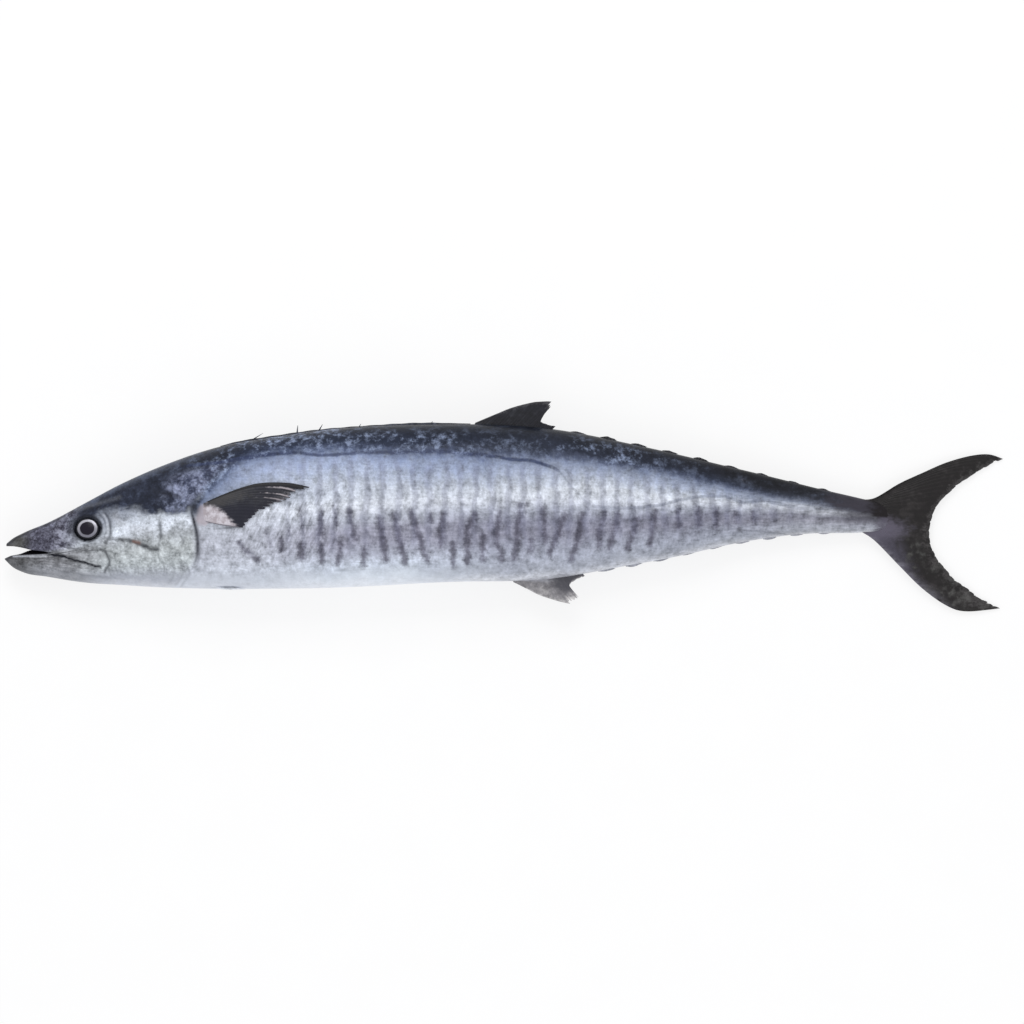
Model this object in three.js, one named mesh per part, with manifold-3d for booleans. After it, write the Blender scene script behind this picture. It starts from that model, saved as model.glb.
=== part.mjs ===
// A whole wahoo, a long fast fish of the open sea, lying on its right side as it does on a fish slab.
// Millimetres. X runs from the jaws to the tail, Y from the belly to the back, and Z up from the slab,
// so the left flank faces up. The origin is under the middle of the fish, on the slab.
//
// The trunk, head and tail root grew as one piece and are one solid. The eyes and every fin are pieces
// of their own: two eyes, two dorsal fins, the anal and tail fins, a pair of pectoral fins, a pair of
// pelvic fins, and a row of finlets above and below the tail root.
import * as THREE from "three";
import { mergeVertices } from "three/addons/utils/BufferGeometryUtils.js";
import Module from "manifold-3d";

const wasm = await Module();
wasm.setup();

// ---------------------------------------------------------------- driving dimensions

const BODY_LENGTH = 890; // tip of the lower jaw to the end of the tail root
const BODY_DEPTH = 159; // back to belly, at the deepest
const BODY_WIDTH = 86; // flank to flank, at the thickest
const FLANK_PRESS = 4.5; // how far the fish's weight flattens the flank it lies on
const SNOUT_HEIGHT = 22.5; // middle of the snout above the slab
const GAP = 0.3; // clearance between a fin or an eye and the skin beside it

const MOUTH_DEPTH = 27; // tip of the jaws to the corner where they part
const MOUTH_OPEN = 12.5; // between the tips of the jaws

const EYE_LENGTH = 27; // along the fish
const EYE_HEIGHT = 24; // belly to back
const EYE_THICKNESS = 12; // of the lens-shaped ball, across the fish
const EYE_BULGE = 2; // how far it stands out of the cheek
const EYE_ABOVE_MOUTH = 24; // middle of the eye above the parting of the jaws

const FIN_ROOT = 2.4; // thickness of a fin where it meets the body
const FIN_EDGE = 1.2; // thickness of its free edge

const TAIL_REACH = 110; // tips of the tail fin behind the end of the tail root
const TAIL_SPAN = 150; // between the two tips
const TAIL_FORK = 74; // depth of the fork, from the tips

const FIRST_DORSAL_HEIGHT = 1.2; // the folded fin's ridge above the back
const FIRST_DORSAL_SPINE = 8; // the longest loose spine above the back
const DORSAL_SPACE = 3; // between the two dorsal fins
const SECOND_DORSAL_HEIGHT = 27;
const SECOND_DORSAL_LENGTH = 82;
const ANAL_HEIGHT = 28;
const ANAL_LENGTH = 73;

const PECTORAL_LENGTH = 112;
const PECTORAL_ROOT = 15; // height of the root of the pectoral fin
const PELVIC_LENGTH = 34;
const PELVIC_ROOT = 6;

const FINLETS = 9; // in each row
const FINLET_LENGTH = 18;
const FINLET_SPACE = 13; // from the end of the fin in front to the first finlet of a row
const DORSAL_FINLET_HEIGHT = 4.2;
const ANAL_FINLET_HEIGHT = 3.6;

// ---------------------------------------------------------------- the body's form

// The body's outline and thickness: [along, back, belly, half width], as shares of the body's length,
// of its depth, of its depth again, and of half its width.
const PROFILE = [
  [0.0, -0.222, -0.314, 0.07],
  [0.008, -0.184, -0.357, 0.14],
  [0.021, -0.145, -0.394, 0.21],
  [0.048, -0.082, -0.421, 0.31],
  [0.089, 0.038, -0.457, 0.435],
  [0.129, 0.157, -0.472, 0.56],
  [0.183, 0.289, -0.489, 0.73],
  [0.237, 0.39, -0.496, 0.86],
  [0.318, 0.472, -0.496, 0.965],
  [0.399, 0.52, -0.48, 1.0],
  [0.507, 0.541, -0.455, 0.965],
  [0.615, 0.506, -0.43, 0.84],
  [0.722, 0.396, -0.33, 0.63],
  [0.83, 0.25, -0.204, 0.39],
  [0.911, 0.138, -0.148, 0.25],
  [0.965, 0.069, -0.142, 0.19],
  [0.992, 0.03, -0.122, 0.09],
  [1.0, -0.01, -0.086, 0.035],
];
const RINGS_PER_STEP = 4; // cross-sections between two rows of the profile
const AROUND = 44; // sides of a cross-section
const FULLNESS = 2.15; // power of the cross-section: 2 is an ellipse, and more has fuller flanks
const TRUNK_FROM = 0.292; // between these shares of the length the backbone lies level
const TRUNK_TO = 0.449;
const HEAD_SAG = 1.6; // how sharply the backbone curves down towards the snout
const TAIL_SAG = 1.35; // and towards the tail

const lerp = THREE.MathUtils.lerp;
const smoothstep = THREE.MathUtils.smoothstep;

// A smooth line through [x, y] points. Each stretch is a cubic, and the slope at a point is the mean of
// the slopes on its two sides, each weighted by the other side's length.
function smoothLine(points) {
  const chord = points.slice(1).map(([x, y], i) => (y - points[i][1]) / (x - points[i][0]));
  const slope = points.map(([x], i) => {
    if (i === 0) return chord[0];
    if (i === points.length - 1) return chord[i - 1];
    const before = x - points[i - 1][0];
    const after = points[i + 1][0] - x;
    return (after * chord[i - 1] + before * chord[i]) / (before + after);
  });
  return (x) => {
    const last = points.length - 2;
    let i = 0;
    while (i < last && x > points[i + 1][0]) i += 1;
    const width = points[i + 1][0] - points[i][0];
    const t = THREE.MathUtils.clamp((x - points[i][0]) / width, 0, 1);
    const rise = points[i + 1][1] - points[i][1];
    const early = slope[i] * width - rise;
    const late = rise - slope[i + 1] * width;
    return points[i][1] + rise * t + t * (1 - t) * (early * (1 - t) + late * t);
  };
}

const column = (k) => smoothLine(PROFILE.map((row) => [row[0], row[k]]));
const [backShare, bellyShare, widthShare] = [1, 2, 3].map(column);

const backAt = (s) => backShare(s / BODY_LENGTH) * BODY_DEPTH;
const bellyAt = (s) => bellyShare(s / BODY_LENGTH) * BODY_DEPTH;
const halfWidthAt = (s) => (widthShare(s / BODY_LENGTH) * BODY_WIDTH) / 2;

// Height of the backbone above the slab. The trunk rests on its flattened flank, the head sags a
// little, and the tail curves down until the tips of its fin lie just clear of the slab.
const TRUNK_HEIGHT = BODY_WIDTH / 2 - FLANK_PRESS;
const TAIL_TIP_HEIGHT = FIN_ROOT / 2 + 2 * GAP;
const TAIL_TIP = BODY_LENGTH + TAIL_REACH;
function backboneHeight(s) {
  const headEnd = TRUNK_FROM * BODY_LENGTH;
  const tailStart = TRUNK_TO * BODY_LENGTH;
  const towardsHead = Math.max(0, (headEnd - s) / headEnd);
  const towardsTail = Math.max(0, (s - tailStart) / (TAIL_TIP - tailStart));
  const headDrop = (TRUNK_HEIGHT - SNOUT_HEIGHT) * Math.min(1, towardsHead) ** HEAD_SAG;
  const tailDrop = (TRUNK_HEIGHT - TAIL_TIP_HEIGHT) * towardsTail ** TAIL_SAG;
  return TRUNK_HEIGHT - headDrop - tailDrop;
}

// Half the body's thickness at s along it and h above its axis.
function sideAt(s, h, grow = 0) {
  const top = backAt(s) + grow;
  const bottom = bellyAt(s) - grow;
  const reach = Math.min(1, Math.abs((2 * h - top - bottom) / (top - bottom)));
  return (halfWidthAt(s) + grow) * (1 - reach ** FULLNESS) ** (1 / FULLNESS);
}

// The pectoral fin under the fish is pressed into the flank, so the flank stays this far off the slab
// round it. The pocket is an oval about the middle of the fin.
const PECTORAL_AT = 0.2185; // share of the length where the pectoral fin is rooted
const PECTORAL_AXIS = -0.022; // middle of that root from the axis, as a share of the depth
const POCKET_DEPTH = FIN_ROOT + 4 * GAP;
function slabAt(s, h) {
  const along = (s - PECTORAL_AT * BODY_LENGTH - PECTORAL_LENGTH / 2) / (0.62 * PECTORAL_LENGTH);
  const across = (h - PECTORAL_AXIS * BODY_DEPTH - PECTORAL_ROOT / 2) / (2.4 * PECTORAL_ROOT);
  return POCKET_DEPTH * (1 - smoothstep(Math.hypot(along, across), 1, 1.3));
}

// A point of the skin, turn radians round the body from the upper flank, over the back.
function skin(s, turn, size = 1, grow = 0) {
  const power = 2 / FULLNESS;
  const middle = (backAt(s) + bellyAt(s)) / 2;
  const half = (backAt(s) - bellyAt(s)) / 2 + grow;
  const c = Math.cos(turn);
  const k = Math.sin(turn);
  const h = middle + size * half * Math.sign(k) * Math.abs(k) ** power;
  const t = size * (halfWidthAt(s) + grow) * Math.sign(c) * Math.abs(c) ** power;
  const lowest = slabAt(s, h) - (c < 0 ? grow : 0);
  return new THREE.Vector3(s, h, Math.max(backboneHeight(s) + t, lowest));
}

// Height of the skin above the slab on the upper side (1) or the lower side (-1) of the fish.
function flankHeight(s, h, side) {
  const z = backboneHeight(s) + side * sideAt(s, h);
  return side > 0 ? z : Math.max(z, slabAt(s, h));
}

// ---------------------------------------------------------------- solids and meshes

// A closed geometry's vertices moved to new places, with its faces turned out if the move mirrors it.
function shaped(geometry, place) {
  const bare = geometry.clone();
  const { position, uv } = geometry.attributes;
  for (let i = 0; i < position.count; i += 1) {
    const from = new THREE.Vector3().fromBufferAttribute(position, i);
    const to = place(from, uv.getX(i), uv.getY(i));
    bare.attributes.position.setXYZ(i, to.x, to.y, to.z);
  }
  bare.deleteAttribute("normal");
  bare.deleteAttribute("uv");
  const merged = mergeVertices(bare);
  const faces = new Uint32Array(merged.index.array);
  if (signedVolume(merged.attributes.position, faces) < 0) faces.reverse();
  const { array } = merged.attributes.position;
  return new wasm.Manifold(new wasm.Mesh({ numProp: 3, vertProperties: array, triVerts: faces }));
}

function signedVolume(position, faces) {
  const [a, b, c] = [0, 1, 2].map(() => new THREE.Vector3());
  let six = 0;
  for (let i = 0; i < faces.length; i += 3) {
    a.fromBufferAttribute(position, faces[i]);
    b.fromBufferAttribute(position, faces[i + 1]);
    c.fromBufferAttribute(position, faces[i + 2]);
    six += a.dot(b.cross(c));
  }
  return six / 6;
}

function geometryOf(solid) {
  const { vertProperties, triVerts } = solid.getMesh();
  return new THREE.BufferGeometry()
    .setAttribute("position", new THREE.BufferAttribute(vertProperties, 3))
    .setIndex(new THREE.BufferAttribute(triVerts, 1));
}

// A fin: a thin plate between its root line and its free edge. u runs along both lines from the front
// of the fin to the back, v along each ray from root to edge, and face is -1 or 1.
function finPlate({ ray, place, rays, steps }) {
  const box = new THREE.BoxGeometry(1, 1, 1, rays, steps, 1);
  return shaped(box, ({ x, y, z }) => {
    const v = y + 0.5;
    const at = ray(x + 0.5, v);
    return place(at.x, at.y, z * lerp(FIN_ROOT, FIN_EDGE, v));
  });
}

// A smooth curve through [along, height] points.
const curve = (points) => new THREE.SplineCurve(points.map(([x, y]) => new THREE.Vector2(x, y)));

// Straight rays from a root line to an edge line.
function straightRays(root, edge) {
  return (u, v) => root.getPoint(u).lerp(edge.getPoint(u), v);
}

// Bowed rays that fill the space between a root, an edge, and the first and the last ray.
function bowedRays(root, edge, first, last) {
  const chord = straightRays(root, edge);
  return (u, v) => {
    const bowFirst = first.getPoint(v).sub(chord(0, v));
    const bowLast = last.getPoint(v).sub(chord(1, v));
    return chord(u, v).addScaledVector(bowFirst, 1 - u).addScaledVector(bowLast, u);
  };
}

// A fin in the fish's middle plane, which bends with the backbone.
const inMiddle = (s, h, t) => new THREE.Vector3(s, h, backboneHeight(s) + t);

// ---------------------------------------------------------------- the body

// Ring 0 and the last ring are the closed ends, and the rings between follow the profile.
function bodyForm(grow = 0) {
  const rings = RINGS_PER_STEP * (PROFILE.length - 1) + 2;
  const alongAt = (ring) => {
    const step = Math.min(Math.max(ring - 1, 0), rings - 2) / RINGS_PER_STEP;
    const row = Math.min(Math.floor(step), PROFILE.length - 2);
    return lerp(PROFILE[row][0], PROFILE[row + 1][0], step - row) * BODY_LENGTH;
  };
  return shaped(new THREE.SphereGeometry(1, AROUND, rings), (_, u, v) => {
    const ring = Math.round((1 - v) * rings);
    const end = ring === 0 ? -grow : ring === rings ? grow : 0;
    const size = ring === 0 || ring === rings ? 0 : 1;
    const point = skin(alongAt(ring), ((u * AROUND) % AROUND) * ((2 * Math.PI) / AROUND), size, grow);
    return point.setX(point.x + end);
  });
}

// The parting of the jaws, from their tips to the corner of the mouth.
const PARTING = (backAt(0) + bellyAt(0)) / 2;
function mouthGap() {
  const front = -2 * GAP;
  const shape = new THREE.Shape()
    .moveTo(front, PARTING + MOUTH_OPEN / 2)
    .quadraticCurveTo(MOUTH_DEPTH / 2, PARTING + MOUTH_OPEN / 3, MOUTH_DEPTH, PARTING + 2)
    .quadraticCurveTo(MOUTH_DEPTH / 2, PARTING - MOUTH_OPEN / 12, front, PARTING - MOUTH_OPEN / 2)
    .closePath();
  const options = { depth: BODY_WIDTH, bevelEnabled: false, curveSegments: 5 };
  const cut = new THREE.ExtrudeGeometry(shape, options);
  const base = backboneHeight(0) - BODY_WIDTH / 2;
  return shaped(cut, (from) => from.setZ(from.z + base));
}

// ---------------------------------------------------------------- the eyes

const EYE_AT = 0.094; // share of the length
const eyeAlong = EYE_AT * BODY_LENGTH;
const eyeAbove = PARTING + EYE_ABOVE_MOUTH;

// A lens-shaped ball set in the cheek, turned to face along the cheek's own normal.
function eye(side, grow = 0) {
  const step = 5;
  const cheek = (s, h) => new THREE.Vector3(s, h, side * sideAt(s, h));
  const alongCheek = cheek(eyeAlong + step, eyeAbove).sub(cheek(eyeAlong - step, eyeAbove));
  const upCheek = cheek(eyeAlong, eyeAbove + step).sub(cheek(eyeAlong, eyeAbove - step));
  const out = alongCheek.cross(upCheek).normalize().multiplyScalar(side);
  const turn = new THREE.Quaternion().setFromUnitVectors(new THREE.Vector3(0, 0, 1), out);
  const middle = cheek(eyeAlong, eyeAbove).addScaledVector(out, EYE_BULGE - EYE_THICKNESS / 2);
  middle.z += backboneHeight(eyeAlong);
  const radii = new THREE.Vector3(EYE_LENGTH, EYE_HEIGHT, EYE_THICKNESS).multiplyScalar(0.5).addScalar(grow);
  return shaped(new THREE.SphereGeometry(1, 22, 14), (from, u) => {
    const flat = new THREE.Vector3(-Math.cos((u % 1) * 2 * Math.PI), from.y, from.z);
    flat.x *= Math.sqrt(Math.max(0, 1 - from.y * from.y));
    return flat.multiply(radii).applyQuaternion(turn).add(middle);
  });
}

// ---------------------------------------------------------------- the fins of the middle plane

// The first dorsal fin lies folded in its groove: a low ridge, with a few spines that stand loose.
const FIRST_DORSAL_AT = 0.243; // shares of the length where the two dorsal fins start
const SECOND_DORSAL_AT = 0.527;
const LOOSE_SPINES = [
  // share of the fin's length, height and backward lean, as shares of the longest spine
  [0.115, 0.75, 1.9],
  [0.306, 1, 0.1],
  [0.39, 0.8, 0.7],
  [0.55, 0.4, 0.9],
  [0.84, 0.3, 0.8],
];
function firstDorsalFin() {
  const from = FIRST_DORSAL_AT * BODY_LENGTH;
  const to = SECOND_DORSAL_AT * BODY_LENGTH - DORSAL_SPACE;
  const ridge = (u) => FIRST_DORSAL_HEIGHT * smoothstep(u, 0, 0.08) * (1 - smoothstep(u, 0.8, 1));
  const ray = (u, v) => {
    const s = lerp(from, to, u);
    return new THREE.Vector2(s, backAt(s) + lerp(-FIN_ROOT, GAP + 0.5 + ridge(u), v));
  };
  const fold = finPlate({ ray, place: inMiddle, rays: 44, steps: 1 });
  const spines = LOOSE_SPINES.map(([share, high, lean]) => looseSpine(lerp(from, to, share), high, lean));
  return spines.reduce((fin, spine) => fin.add(spine), fold);
}

function looseSpine(s, high, lean) {
  const reach = FIRST_DORSAL_SPINE * high;
  const spine = new THREE.CylinderGeometry(0.45, 1.1, 1, 8, 1);
  return shaped(spine, ({ x, y, z }) => {
    const v = y + 0.5;
    return inMiddle(s + x + v * reach * lean, backAt(s) + lerp(-FIN_ROOT / 2, reach, v), z);
  });
}

// The second dorsal fin: a swept blade with a hollowed, frayed back edge and a low rear lobe.
function secondDorsalFin() {
  const start = SECOND_DORSAL_AT * BODY_LENGTH;
  const at = (along, high) => {
    const s = start + along * SECOND_DORSAL_LENGTH;
    return [s, backAt(s) + high * SECOND_DORSAL_HEIGHT];
  };
  const root = curve([at(0, -0.1), at(0.33, -0.1), at(0.66, -0.1), at(0.93, -0.1)]);
  const leading = [at(0.02, 0.05), at(0.28, 0.41), at(0.46, 0.66), at(0.65, 0.86), at(0.79, 0.97)];
  const edge = curve([...leading, at(0.97, 1), at(0.87, 0.56), at(0.82, 0.25), at(1, 0.13)]);
  return finPlate({ ray: straightRays(root, edge), place: inMiddle, rays: 26, steps: 4 });
}

// The anal fin mirrors it below, a little further back.
const ANAL_AT = 0.57;
function analFin() {
  const start = ANAL_AT * BODY_LENGTH;
  const at = (along, low) => {
    const s = start + along * ANAL_LENGTH;
    return [s, bellyAt(s) - low * ANAL_HEIGHT];
  };
  const root = curve([at(0, -0.1), at(0.33, -0.1), at(0.66, -0.1), at(0.95, -0.1)]);
  const leading = [at(0.02, 0.05), at(0.22, 0.33), at(0.4, 0.59), at(0.7, 0.91), at(0.85, 1)];
  const edge = curve([...leading, at(0.93, 0.86), at(0.81, 0.54), at(0.8, 0.3), at(1, 0.08)]);
  return finPlate({ ray: straightRays(root, edge), place: inMiddle, rays: 26, steps: 4 });
}

// A finlet: a little swept flag. Those of a row get smaller towards the tail.
function finlet(s, high, length, surface, out) {
  const at = (along, share) => {
    const x = s + along * length;
    return [x, surface(x) + out * share * high];
  };
  const root = curve([at(0, -0.4), at(0.3, -0.4), at(0.6, -0.4)]);
  const edge = curve([at(0.04, 0.25), at(0.45, 0.85), at(1, 1), at(0.66, 0.2)]);
  return finPlate({ ray: straightRays(root, edge), place: inMiddle, rays: 6, steps: 1 });
}

const LAST_FINLET = 0.914; // share of the length where the last finlet of each row starts
function finletRow(name, finEnd, high, surface, out) {
  return Array.from({ length: FINLETS }, (_, i) => {
    const k = i / (FINLETS - 1);
    const shrink = lerp(1, 0.72, k);
    const s = lerp(finEnd + FINLET_SPACE, LAST_FINLET * BODY_LENGTH, k);
    const solid = finlet(s, high * shrink, FINLET_LENGTH * shrink, surface, out);
    return [`${name}_${i + 1}`, solid];
  });
}

// The tail fin: rays fan from the tail root to the forked edge, and bow with the leading edge of each
// lobe. A leading edge's points are shares of the fin's length and of half its span.
const TAIL_ROOT = 0.963; // share of the length where the fin grips the tail root
const TAIL_AXIS = -0.15; // middle of the two tips from the body's axis, as a share of the depth
const UPPER_LOBE = [[0.1, 0.48], [0.27, 0.67], [0.43, 0.81], [0.6, 0.95], [0.77, 1.04], [0.9, 1.06], [1, 1]];
const LOWER_LOBE = [[0.1, -0.1], [0.27, -0.43], [0.43, -0.73], [0.6, -0.96], [0.74, -1.04], [0.98, -1]];
function tailFin() {
  const start = TAIL_ROOT * BODY_LENGTH;
  const deep = TAIL_TIP - TAIL_FORK;
  const high = backAt(start) - 1;
  const low = bellyAt(start) + 1;
  const height = (share) => TAIL_AXIS * BODY_DEPTH + (share * TAIL_SPAN) / 2;
  const lobe = ([along, share]) => [lerp(start, TAIL_TIP, along), height(share)];
  const fork = (back, share) => [deep + back * TAIL_FORK, height(share)];
  const upper = [[start, high], ...UPPER_LOBE.map(lobe)];
  const lower = [[start, low], ...LOWER_LOBE.map(lobe)];
  const root = [[start, high], [start + 14, high - 7], [start + 14, low + 7], [start, low]];
  const edge = [
    upper.at(-1),
    fork(0.72, 0.86),
    fork(0.39, 0.64),
    fork(0.11, 0.38),
    fork(0, 0),
    fork(0.1, -0.32),
    fork(0.39, -0.63),
    fork(0.72, -0.87),
    lower.at(-1),
  ];
  const ray = bowedRays(curve(root), curve(edge), curve(upper), curve(lower));
  return finPlate({ ray, place: inMiddle, rays: 26, steps: 12 });
}

// ---------------------------------------------------------------- the paired fins

// A fin that lies along the flank, clear of the skin, on the upper side (1) or the lower side (-1).
const onFlank = (side) => (s, h, t) => {
  const stand = side * (2 * GAP + FIN_ROOT / 2);
  return new THREE.Vector3(s, h, flankHeight(s, h, side) + stand + t);
};

// The pectoral fin: a short root behind the gill cover, a bowed front ray, and a shorter lower edge.
function pectoralFin(side) {
  const start = PECTORAL_AT * BODY_LENGTH;
  const axis = PECTORAL_AXIS * BODY_DEPTH;
  const at = (along, high) => [start + along * PECTORAL_LENGTH, axis + high * PECTORAL_ROOT];
  const root = curve([at(0, 0.5), at(0.02, 0.1), at(0.05, -0.5)]);
  const free = [at(0.88, 1.15), at(0.76, 0.75), at(0.6, 0.3), at(0.5, -0.3)];
  const edge = curve([at(1, 1.75), ...free, at(0.4, -0.95)]);
  const first = curve([at(0, 0.5), at(0.18, 1.1), at(0.36, 1.63), at(0.55, 2), at(0.8, 2.03), at(1, 1.75)]);
  const last = curve([at(0.05, -0.5), at(0.22, -0.8), at(0.4, -0.95)]);
  return finPlate({ ray: bowedRays(root, edge, first, last), place: onFlank(side), rays: 10, steps: 10 });
}

// The pelvic fin: small, and folded back along the belly beside the middle line.
const PELVIC_AT = 0.232;
const PELVIC_TURN = 0.1; // radians from the belly's middle line, round the body
function pelvicFin(side) {
  const start = PELVIC_AT * BODY_LENGTH;
  const root = curve([[0, 0], [0.04 * PELVIC_LENGTH, PELVIC_ROOT]]);
  const edge = curve([[PELVIC_LENGTH, 0.55 * PELVIC_ROOT], [0.7 * PELVIC_LENGTH, 1.2 * PELVIC_ROOT]]);
  const place = (along, across, t) => {
    const turn = -Math.PI / 2 + side * (PELVIC_TURN + across / (BODY_WIDTH / 2));
    return skin(start + along, turn, 1, 2 * GAP + FIN_ROOT / 2 + t);
  };
  return finPlate({ ray: straightRays(root, edge), place, rays: 3, steps: 5 });
}

// ---------------------------------------------------------------- the whole fish

const MATERIALS = {
  skin: new THREE.MeshStandardMaterial({ color: 0x8f98a8, roughness: 0.35, metalness: 0.3 }),
  eye: new THREE.MeshStandardMaterial({ color: 0x14161d, roughness: 0.1, metalness: 0 }),
  darkFin: new THREE.MeshStandardMaterial({ color: 0x35343a, roughness: 0.5, metalness: 0 }),
  paleFin: new THREE.MeshStandardMaterial({ color: 0x8b898d, roughness: 0.5, metalness: 0 }),
};

const clearSkin = bodyForm(GAP); // the body with the clearance round it, which trims the fins
const trimmed = (fin) => fin.subtract(clearSkin);
const body = bodyForm().subtract(mouthGap()).subtract(eye(1, GAP)).subtract(eye(-1, GAP));

const pieces = [
  ["body", body, "skin"],
  ["left_eye", eye(1), "eye"],
  ["right_eye", eye(-1), "eye"],
  ["first_dorsal_fin", trimmed(firstDorsalFin()), "darkFin"],
  ["second_dorsal_fin", trimmed(secondDorsalFin()), "darkFin"],
  ["anal_fin", trimmed(analFin()), "paleFin"],
  ["tail_fin", trimmed(tailFin()), "darkFin"],
  ["left_pectoral_fin", pectoralFin(1), "darkFin"],
  ["right_pectoral_fin", pectoralFin(-1), "darkFin"],
  ["left_pelvic_fin", pelvicFin(1), "paleFin"],
  ["right_pelvic_fin", pelvicFin(-1), "paleFin"],
];
const dorsalEnd = SECOND_DORSAL_AT * BODY_LENGTH + SECOND_DORSAL_LENGTH;
const analEnd = ANAL_AT * BODY_LENGTH + ANAL_LENGTH;
const rows = [
  ...finletRow("dorsal_finlet", dorsalEnd, DORSAL_FINLET_HEIGHT, backAt, 1),
  ...finletRow("anal_finlet", analEnd, ANAL_FINLET_HEIGHT, bellyAt, -1),
];
rows.forEach(([name, solid]) => {
  pieces.push([name, trimmed(solid), name.startsWith("dorsal") ? "darkFin" : "paleFin"]);
});

const fish = new THREE.Group();
pieces.forEach(([name, solid, material]) => {
  const mesh = new THREE.Mesh(geometryOf(solid), MATERIALS[material]);
  mesh.name = name;
  fish.add(mesh);
});

// The origin is on the slab, under the middle of the fish's box.
const box = new THREE.Box3().setFromObject(fish);
const middle = box.getCenter(new THREE.Vector3());
fish.position.set(-middle.x, -middle.y, -box.min.z);

export default fish;
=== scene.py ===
# %% [markdown]
# # A Spanish mackerel on a slab
#
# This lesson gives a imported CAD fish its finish. The CAD model already settles where the body, the
# eyes and every fin lie, so nothing here is moved to fit: each new surface repeats the same formulas with
# many more points, and adds the folds, rays and colours that the plain solids leave out.
#
# Lengths are worked out in millimetres of fish and turned to metres where they enter a mesh. Along the
# fish, s grows from the tips of the jaws to the tail. Across it, h grows from the body's axis towards the
# back, and t towards the left flank, which faces up.

import bpy
import numpy as np
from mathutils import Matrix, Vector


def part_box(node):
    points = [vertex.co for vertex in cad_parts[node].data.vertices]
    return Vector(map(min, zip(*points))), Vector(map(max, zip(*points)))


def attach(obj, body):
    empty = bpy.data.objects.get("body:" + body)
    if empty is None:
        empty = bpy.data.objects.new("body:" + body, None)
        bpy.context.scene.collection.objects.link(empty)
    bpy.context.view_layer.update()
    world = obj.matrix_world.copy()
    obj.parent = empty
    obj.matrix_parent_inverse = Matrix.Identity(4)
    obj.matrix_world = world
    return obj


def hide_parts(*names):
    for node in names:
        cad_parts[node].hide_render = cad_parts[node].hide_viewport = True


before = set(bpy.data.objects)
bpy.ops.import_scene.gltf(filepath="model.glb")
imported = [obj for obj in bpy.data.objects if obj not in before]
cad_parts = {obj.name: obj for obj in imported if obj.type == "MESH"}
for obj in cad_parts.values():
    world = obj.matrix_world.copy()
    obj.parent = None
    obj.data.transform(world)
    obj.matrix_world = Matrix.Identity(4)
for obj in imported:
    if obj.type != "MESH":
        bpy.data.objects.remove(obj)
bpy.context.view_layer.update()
MM = 0.001

# %% [markdown]
# ## Camera
#
# The fish is seen flat on, so the camera hangs straight above it. A camera that is near would show the
# head and tail, which lie low on the slab, smaller than the thick trunk. From nine metres up with a long
# lens they keep nearly their true sizes, as in a catalogue.

# %% Camera
scene = bpy.context.scene
CAMERA_HEIGHT = 9.0  # metres above the slab
FRAME_WIDTH = 1.024  # metres of slab across the view
FRAMED_LEVEL = 0.03  # height at which that width is framed
VIEW_MIDDLE = (0.0075, -0.0055)
SENSOR = 36.0

camera_data = bpy.data.cameras.new("camera")
camera_data.sensor_width = SENSOR
camera_data.lens = SENSOR * (CAMERA_HEIGHT - FRAMED_LEVEL) / FRAME_WIDTH
camera = bpy.data.objects.new("camera", camera_data)
camera.location = (*VIEW_MIDDLE, CAMERA_HEIGHT)
scene.collection.objects.link(camera)
scene.camera = camera
print("lens, mm:", round(camera_data.lens))

# %% [markdown]
# ## Shader maths as sums
#
# Blender builds a finish from nodes. Node by node that reads badly, so a small class wraps a node's
# output, and the signs +, - and * on it add a Math node each. A second class holds one finish: its `node`
# method adds any other node, sets its settings first and then feeds its inputs.


# %% Wires and finishes
class Wire:
    """One output of a node. A sum on it adds a Math node and gives that node's output."""

    def __init__(self, finish, socket):
        self.finish = finish
        self.socket = socket

    def math(self, kind, first, second):
        """A Math node of this kind on two numbers or wires."""
        return self.finish.node("Math", {"operation": kind}, {0: first, 1: second})

    def __add__(self, other):
        return self.math("ADD", self, other)

    def __sub__(self, other):
        return self.math("SUBTRACT", self, other)

    def __rsub__(self, other):
        return self.math("SUBTRACT", other, self)

    def __mul__(self, other):
        return self.math("MULTIPLY", self, other)

    __radd__ = __add__


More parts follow.
